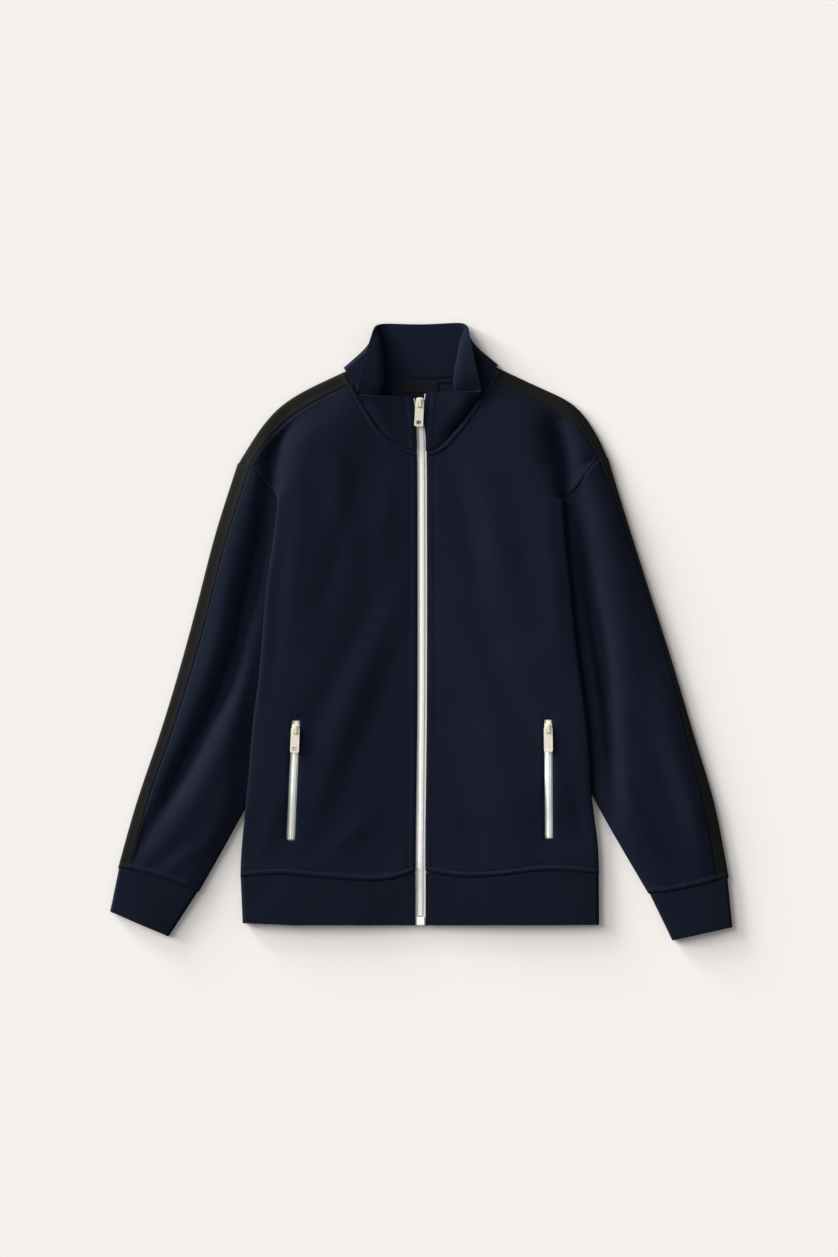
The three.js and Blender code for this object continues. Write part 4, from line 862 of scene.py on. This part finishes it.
def collar_zip_edge(hand):
    """The folded edge of the collar along the main zip: 1 for its left end, -1 for its right."""
    reach, top = COLLAR_EDGE["reach"], COLLAR_EDGE["top"]
    return edge_line("collar", lambda x, y: (hand * x > 0) & (hand * x < reach) & (y < top))


collar = bare_copy("collar", "collar_stand")
dress_edges(collar, overlap=WIDE_OVERLAP)
round_off(collar)
points = read_points(collar)
near_zip = (points[:, 0] > 0) * (1 - smooth(points[:, 0], *NEAR_ZIP))
at_top = smooth(points[:, 1], *DRAW_BEGINS) * (1 - smooth(points[:, 1], *DRAW_ENDS))
points[:, 0] -= ZIP_SHUT * near_zip * at_top
points[:, 2] += crease_lift(points, COLLAR_CREASES) * smooth(points[:, 2], *COLLAR_TOP)
write_points(collar, points)
sew(collar, [
    (seam_line("collar", "front_right"), SUNK),
    (seam_line("collar", "front_left"), SUNK),
    (seam_line("collar", "back", WIDE_REACH, above=0), SUNK),
    (collar_zip_edge(1), ZIP_FOLD),
    (collar_zip_edge(-1), ZIP_FOLD),
])
finish_face(collar)
collar.data.materials.append(body_knit)
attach(collar, "garment")
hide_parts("collar")


# ---------------------------------------------------------------------------------------------
# The neck label. A bare black satin tape, 0.6 mm thick, that lies flat on the inside of the back
# just below the neck seam, in the middle.

LABEL_BLACK = (0.006, 0.006, 0.007, 1)
LABEL_SHEEN = (0.011, 0.011, 0.012, 1)
LABEL_WEAVE = 0.4 * MM
LABEL_DEPTH = 0.04 * MM
label = bare_copy("neck_label", "neck_label_tape")
dress_edges(label)
round_off(label, levels=3)
finish_face(label)
label_tape = cloth_material("black_satin_label", LABEL_BLACK, LABEL_SHEEN, wale=LABEL_WEAVE,
                            course=LABEL_WEAVE, depth=LABEL_DEPTH, roughness=0.4)
label.data.materials.append(label_tape)
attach(label, "garment")
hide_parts("neck_label")


# ---------------------------------------------------------------------------------------------
# The main zip and the pocket zips. Ivory woven tapes lie under the cloth's folded edges. Moulded
# teeth are clamped to the tapes' edges and lock alternately from the left and from the right, the
# pockets' at little more than half the size. The sliders and their pulls are enamelled.

# Each ivory and enamel colour has a darker, warmer partner that is painted shade. It goes to the
# hollows of the grain and weave, and the mix sets how far it reaches.
IVORY = (0.95, 0.955, 0.91, 1)
IVORY_PAINTED_SHADE = (0.89, 0.892, 0.84, 1)
ENAMEL = (0.80, 0.755, 0.64, 1)
ENAMEL_PAINTED_SHADE = (0.70, 0.645, 0.52, 1)
GRAIN_DETAIL = 4
WEAVE = {"wale": 0.7 * MM, "course": 0.56 * MM, "share": 0.5}
PAINTED_SHADE_MIX = {"gain": 0.8, "start": 0.1}
TAPE_GRAIN = {"depth": 0.1 * MM, "scale": 1500}
PLASTIC_GRAIN = {"depth": 0.02 * MM, "scale": 600}
ENAMEL_GRAIN = {"depth": 0.02 * MM, "scale": 300}

# A tooth's sizes in mm, how much narrower and lower its tip is, and how far its middle stands
# back from the zip's middle line, as a share of its length.
TOOTH = {"length": 3.9, "width": 1.9, "height": 1.3, "corner": 0.45}
TOOTH_TIP = (1, 0.72, 0.85)
TOOTH_BACK = 0.22
MAIN_PITCH = 2.4
POCKET_PITCH = 1.5
POCKET_SIZE = 0.56

# A pocket's teeth stop this far from the ends of its zip, and stand up by this lift, in mm.
POCKET_ENDS = {"bottom": 6, "top": 9, "lift": 0.1}
CORD_DROP = 0.55
CORNER_TURN = math.radians(38)
ROW_REACH = 0.3
LINE_POINTS = 260


def ivory_material(name, light, painted_shade, roughness, specular, grain, woven=False):
    """Ivory tape, plastic or enamel: a little grain or weave, with painted shade, darker and
    warmer, in its hollows.
    """
    made, place = new_material(name, roughness, specular)
    tree = made.node_tree
    spots = tree.nodes.new("ShaderNodeTexNoise")
    spots.inputs["Scale"].default_value = grain["scale"]
    spots.inputs["Detail"].default_value = GRAIN_DETAIL
    tree.links.new(place, spots.inputs["Vector"])
    height = spots.outputs["Fac"]
    if woven:
        knit = knit_node(tree, place, WEAVE["wale"], WEAVE["course"])
        height = math_node(tree, "MULTIPLY_ADD", knit.outputs["Height"], WEAVE["share"], height)
    # Painted shade: the lower the grain or weave lies, the nearer its colour is to the darker one.
    dyed(tree, painted_shade, light, math_node(tree, "MULTIPLY_ADD", height, PAINTED_SHADE_MIX["gain"], PAINTED_SHADE_MIX["start"]))
    raised(tree, height, grain["depth"])
    return made


def one_tooth():
    """The points, in mm, and faces of one tooth, which points to +X from its middle."""
    bpy.ops.object.select_all(action="DESELECT")
    bpy.ops.mesh.primitive_cube_add(size=1)
    tooth = bpy.context.object
    tooth.scale = (TOOTH["length"], TOOTH["width"], TOOTH["height"])
    bpy.ops.object.transform_apply(scale=True)
    bpy.ops.object.mode_set(mode="EDIT")
    bpy.ops.mesh.select_all(action="DESELECT")
    bpy.ops.object.mode_set(mode="OBJECT")
    for vert in tooth.data.vertices:
        vert.select = vert.co.x > 0
    bpy.ops.object.mode_set(mode="EDIT")
    bpy.ops.transform.resize(value=TOOTH_TIP)
    bpy.ops.mesh.select_all(action="SELECT")
    bpy.ops.mesh.bevel(offset=TOOTH["corner"], segments=1)
    bpy.ops.object.mode_set(mode="OBJECT")
    points = np.array([vert.co[:] for vert in tooth.data.vertices])
    faces = [list(face.vertices) for face in tooth.data.polygons]
    bpy.data.objects.remove(tooth)
    return points, faces


def joined(piece_name, shape, places):
    """One piece of many copies of a shape: each place gives its middle and its three axes."""
    points, faces = shape
    frames = np.array([np.column_stack(axes) for _, axes in places])
    middles = np.array([middle for middle, _ in places])
    spots = np.einsum("nij,kj->nki", frames, points) + middles[:, None]
    count = len(points)
    every = [[i * count + j for j in face] for i in range(len(places)) for face in faces]
    mesh = bpy.data.meshes.new(piece_name)
    mesh.from_pydata((spots.reshape(-1, 3) * MM).tolist(), [], every)
    mesh.shade_smooth()
    mesh.set_sharp_from_angle(angle=CORNER_TURN)
    return new_piece(piece_name, mesh)


def unit(vector):
    """A vector's direction."""
    return vector / np.linalg.norm(vector)


def tooth_rows(line, pitch, size):
    """Where the teeth of both rows stand along a zip's middle line, turned to each other."""
    spots, ahead = walk(line, pitch / 2)
    places = []
    for index, (spot, along) in enumerate(zip(spots, ahead)):
        hand = -1 if index % 2 else 1
        across = hand * unit(np.cross(along, (0, 0, 1.0)))
        middle = spot - TOOTH_BACK * TOOTH["length"] * size * across
        upward = hand * np.cross(across, along)
        axes = (across * size, np.cross(upward, across) * size, upward * size)
        places.append((middle, axes))
    return places


def middle_line(node, low=-math.inf, high=math.inf):
    """The middle line of a zip on top of its teeth, in mm, between two heights on the jacket."""
    points = read_points(frame["nodes"][node])
    line = []
    for y in np.unique(points[:, 1].round(1)):
        row = points[np.abs(points[:, 1] - y) < ROW_REACH]
        top = row[row[:, 2] > row[:, 2].max() - ROW_REACH]
        line.append((np.mean([top[:, 0].min(), top[:, 0].max()]), y, top[:, 2].max()))
    line = np.array([place for place in line if low <= place[1] <= high])
    heights = np.linspace(line[0, 1], line[-1, 1], LINE_POINTS)
    aside = np.interp(heights, line[:, 1], line[:, 0])
    tops = np.interp(heights, line[:, 1], line[:, 2])
    return np.column_stack([aside, heights, tops])


ivory_tape = ivory_material("ivory_zip_tape", IVORY, IVORY_PAINTED_SHADE, roughness=0.85,
                            specular=0.2, grain=TAPE_GRAIN, woven=True)
ivory_plastic = ivory_material("ivory_moulded_teeth", IVORY, IVORY_PAINTED_SHADE, roughness=0.4,
                               specular=0.4, grain=PLASTIC_GRAIN)
ivory_enamel = ivory_material("ivory_enamelled_metal", ENAMEL, ENAMEL_PAINTED_SHADE, roughness=0.3,
                              specular=0.5, grain=ENAMEL_GRAIN)
tooth_shape = one_tooth()

chain_line = middle_line("zip_chain")
chain_line[:, 2] -= TOOTH["height"] / 2
main_teeth = joined("main_zip_teeth", tooth_shape, tooth_rows(chain_line, MAIN_PITCH, 1.0))
main_teeth.data.materials.append(ivory_plastic)
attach(main_teeth, "garment")
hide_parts("zip_chain")

# The cords that the teeth are clamped to run under them in one low ridge.
cord = bare_copy("zip_chain", "main_zip_cords")
points = read_points(cord)
points[:, 2] -= CORD_DROP
write_points(cord, points)
cord.data.materials.append(ivory_tape)
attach(cord, "garment")
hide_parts("zip_chain")

for side in ("right", "left"):
    node = f"pocket_zip_{side}"
    low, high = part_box(node)
    bottom = low[1] / MM + POCKET_ENDS["bottom"]
    top = high[1] / MM - POCKET_ENDS["top"]
    line = middle_line(node, bottom, top)
    line[:, 2] += POCKET_ENDS["lift"]
    places = tooth_rows(line, POCKET_PITCH, POCKET_SIZE)
    teeth = joined(f"pocket_zip_teeth_{side}", tooth_shape, places)
    teeth.data.materials.append(ivory_plastic)
    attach(teeth, "garment")

for name, node in frame["nodes"].items():
    if "pull" in name or "slider" in name:
        look = ivory_enamel
    elif name in ("zip_chain", "zip_box"):
        look = ivory_plastic
    elif "zip" in name:
        look = ivory_tape
    else:
        continue
    for slot in node.material_slots:
        slot.material = look


# ---------------------------------------------------------------------------------------------
# The sewing. Navy thread in a plain straight stitch, one every 3.1 mm, half sunk in the knit. It
# runs beside the neck seam, the hem, the cuffs, the main zip and the pockets, and along the seam
# of each stripe on top.

THREAD_NAVY = (0.0085, 0.0115, 0.022, 1)
THREAD_LIGHT = (0.016, 0.020, 0.034, 1)
STITCH_PITCH = 3.1
STITCH_LENGTH = 2.5
THREAD_RADIUS = 0.24
THREAD_RISE = 0.05
THREAD_WEAVE = {"wale": 0.5 * MM, "course": 0.35 * MM, "turn": 0.6, "depth": 0.05 * MM}
THREAD_SIDES = 5

# A stitch's rings, as (place along it, thickness, height), in shares of its length, shares of the
# thread's radius and mm.
STITCH_RINGS = ((-0.5, 0.35, -0.3), (-0.22, 1.0, 0.0), (0.22, 1.0, 0.0), (0.5, 0.35, -0.3))

# How far a row of stitches runs beside each kind of edge, in mm.
BESIDE = {"seam": 6.6, "zip": 7.6, "stripe": 1.8, "pocket": 2.2}

# The needle comes down from above the edge, reaches this deep and wants cloth that faces up.
NEEDLE = {"above": 5, "reach": 8, "facing": 0.3}
POCKET_SLOT = {"inner": 149, "outer": 177, "bottom": -268, "top": -106}


def one_stitch():
    """The points, in mm, and faces of one stitch along +X, whose ends dip into the cloth."""
    points = []
    for along, size, height in STITCH_RINGS:
        radius = size * THREAD_RADIUS
        for step in range(THREAD_SIDES):
            angle = 2 * math.pi * step / THREAD_SIDES
            y, z = math.cos(angle) * radius, math.sin(angle) * radius + height
            points.append((along * STITCH_LENGTH, y, z))
    last = len(STITCH_RINGS) - 1
    end = range(last * THREAD_SIDES, (last + 1) * THREAD_SIDES)
    faces = [list(range(THREAD_SIDES))[::-1], list(end)]
    for ring in range(last):
        for step in range(THREAD_SIDES):
            after = (step + 1) % THREAD_SIDES
            here, ahead = ring * THREAD_SIDES, (ring + 1) * THREAD_SIDES
            faces.append([here + step, here + after, ahead + after, ahead + step])
    return np.array(points), faces


def stitch_row(piece, line, aside):
    """Where stitches lie on a piece, at a distance in mm beside one of its edges."""
    points = [vert.co[:] for vert in piece.data.vertices]
    tree = BVHTree.FromPolygons(points, [list(face.vertices) for face in piece.data.polygons])
    down = Vector((0, 0, -1))
    places = []
    for spot, along in zip(*walk(line, STITCH_PITCH)):
        across = unit(np.cross(along, (0, 0, 1.0)))
        for hand in (1, -1):
            start = spot + hand * aside * across
            start[2] = spot[2] + NEEDLE["above"]
            hit, normal = tree.ray_cast(Vector(start * MM), down, NEEDLE["reach"] * MM)[:2]
            if hit is None or normal.z < NEEDLE["facing"]:
                continue
            up = np.array(normal)
            beside = unit(np.cross(up, along))
            axes = (np.cross(beside, up), beside, up)
            places.append((np.array(hit) / MM + THREAD_RISE * up, axes))
            break
    return places


def around_pocket(x, y):
    """Where the folded edge of a front round its pocket's slot is."""
    across = (np.abs(x) > POCKET_SLOT["inner"]) & (np.abs(x) < POCKET_SLOT["outer"])
    return across & (y > POCKET_SLOT["bottom"]) & (y < POCKET_SLOT["top"])


stitches = []
pieces = bpy.data.objects
for side in ("right", "left"):
    front = pieces[f"front_panel_{side}"]
    sleeve = pieces[f"sleeve_panel_{side}"]
    on_sleeve = pieces[f"sleeve_stripe_tape_{side}"]
    on_shoulder = pieces[f"shoulder_stripe_tape_{side}"]
    outer_seam = turned(seam_line(f"sleeve_stripe_{side}", f"sleeve_{side}"), side)
    rows = [
        (front, seam_line(f"front_{side}", "collar"), "seam"),
        (front, seam_line(f"front_{side}", "hem_band"), "seam"),
        (front, edge_line(f"front_{side}", beside_zip), "zip"),
        (on_shoulder, seam_line(f"shoulder_stripe_{side}", "collar", WIDE_REACH), "seam"),
        (on_shoulder, seam_line(f"shoulder_stripe_{side}", f"front_{side}"), "stripe"),
        (sleeve, seam_line(f"sleeve_{side}", f"cuff_{side}"), "seam"),
        (on_sleeve, seam_line(f"sleeve_stripe_{side}", f"cuff_{side}", WIDE_REACH), "seam"),
        (on_sleeve, outer_seam, "stripe"),
        (front, edge_line(f"front_{side}", around_pocket), "pocket"),
    ]
    for piece, line, kind in rows:
        stitches += stitch_row(piece, line, BESIDE[kind])
stitches += stitch_row(back, seam_line("back", "collar", WIDE_REACH, above=0), BESIDE["seam"])
for hand in (1, -1):
    stitches += stitch_row(collar, collar_zip_edge(hand), BESIDE["zip"])

sewing = joined("sewing_thread", one_stitch(), stitches)
thread = cloth_material("navy_sewing_thread", THREAD_NAVY, THREAD_LIGHT, **THREAD_WEAVE,
                        roughness=0.6, specular=0.15)
sewing.data.materials.append(thread)
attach(sewing, "garment")
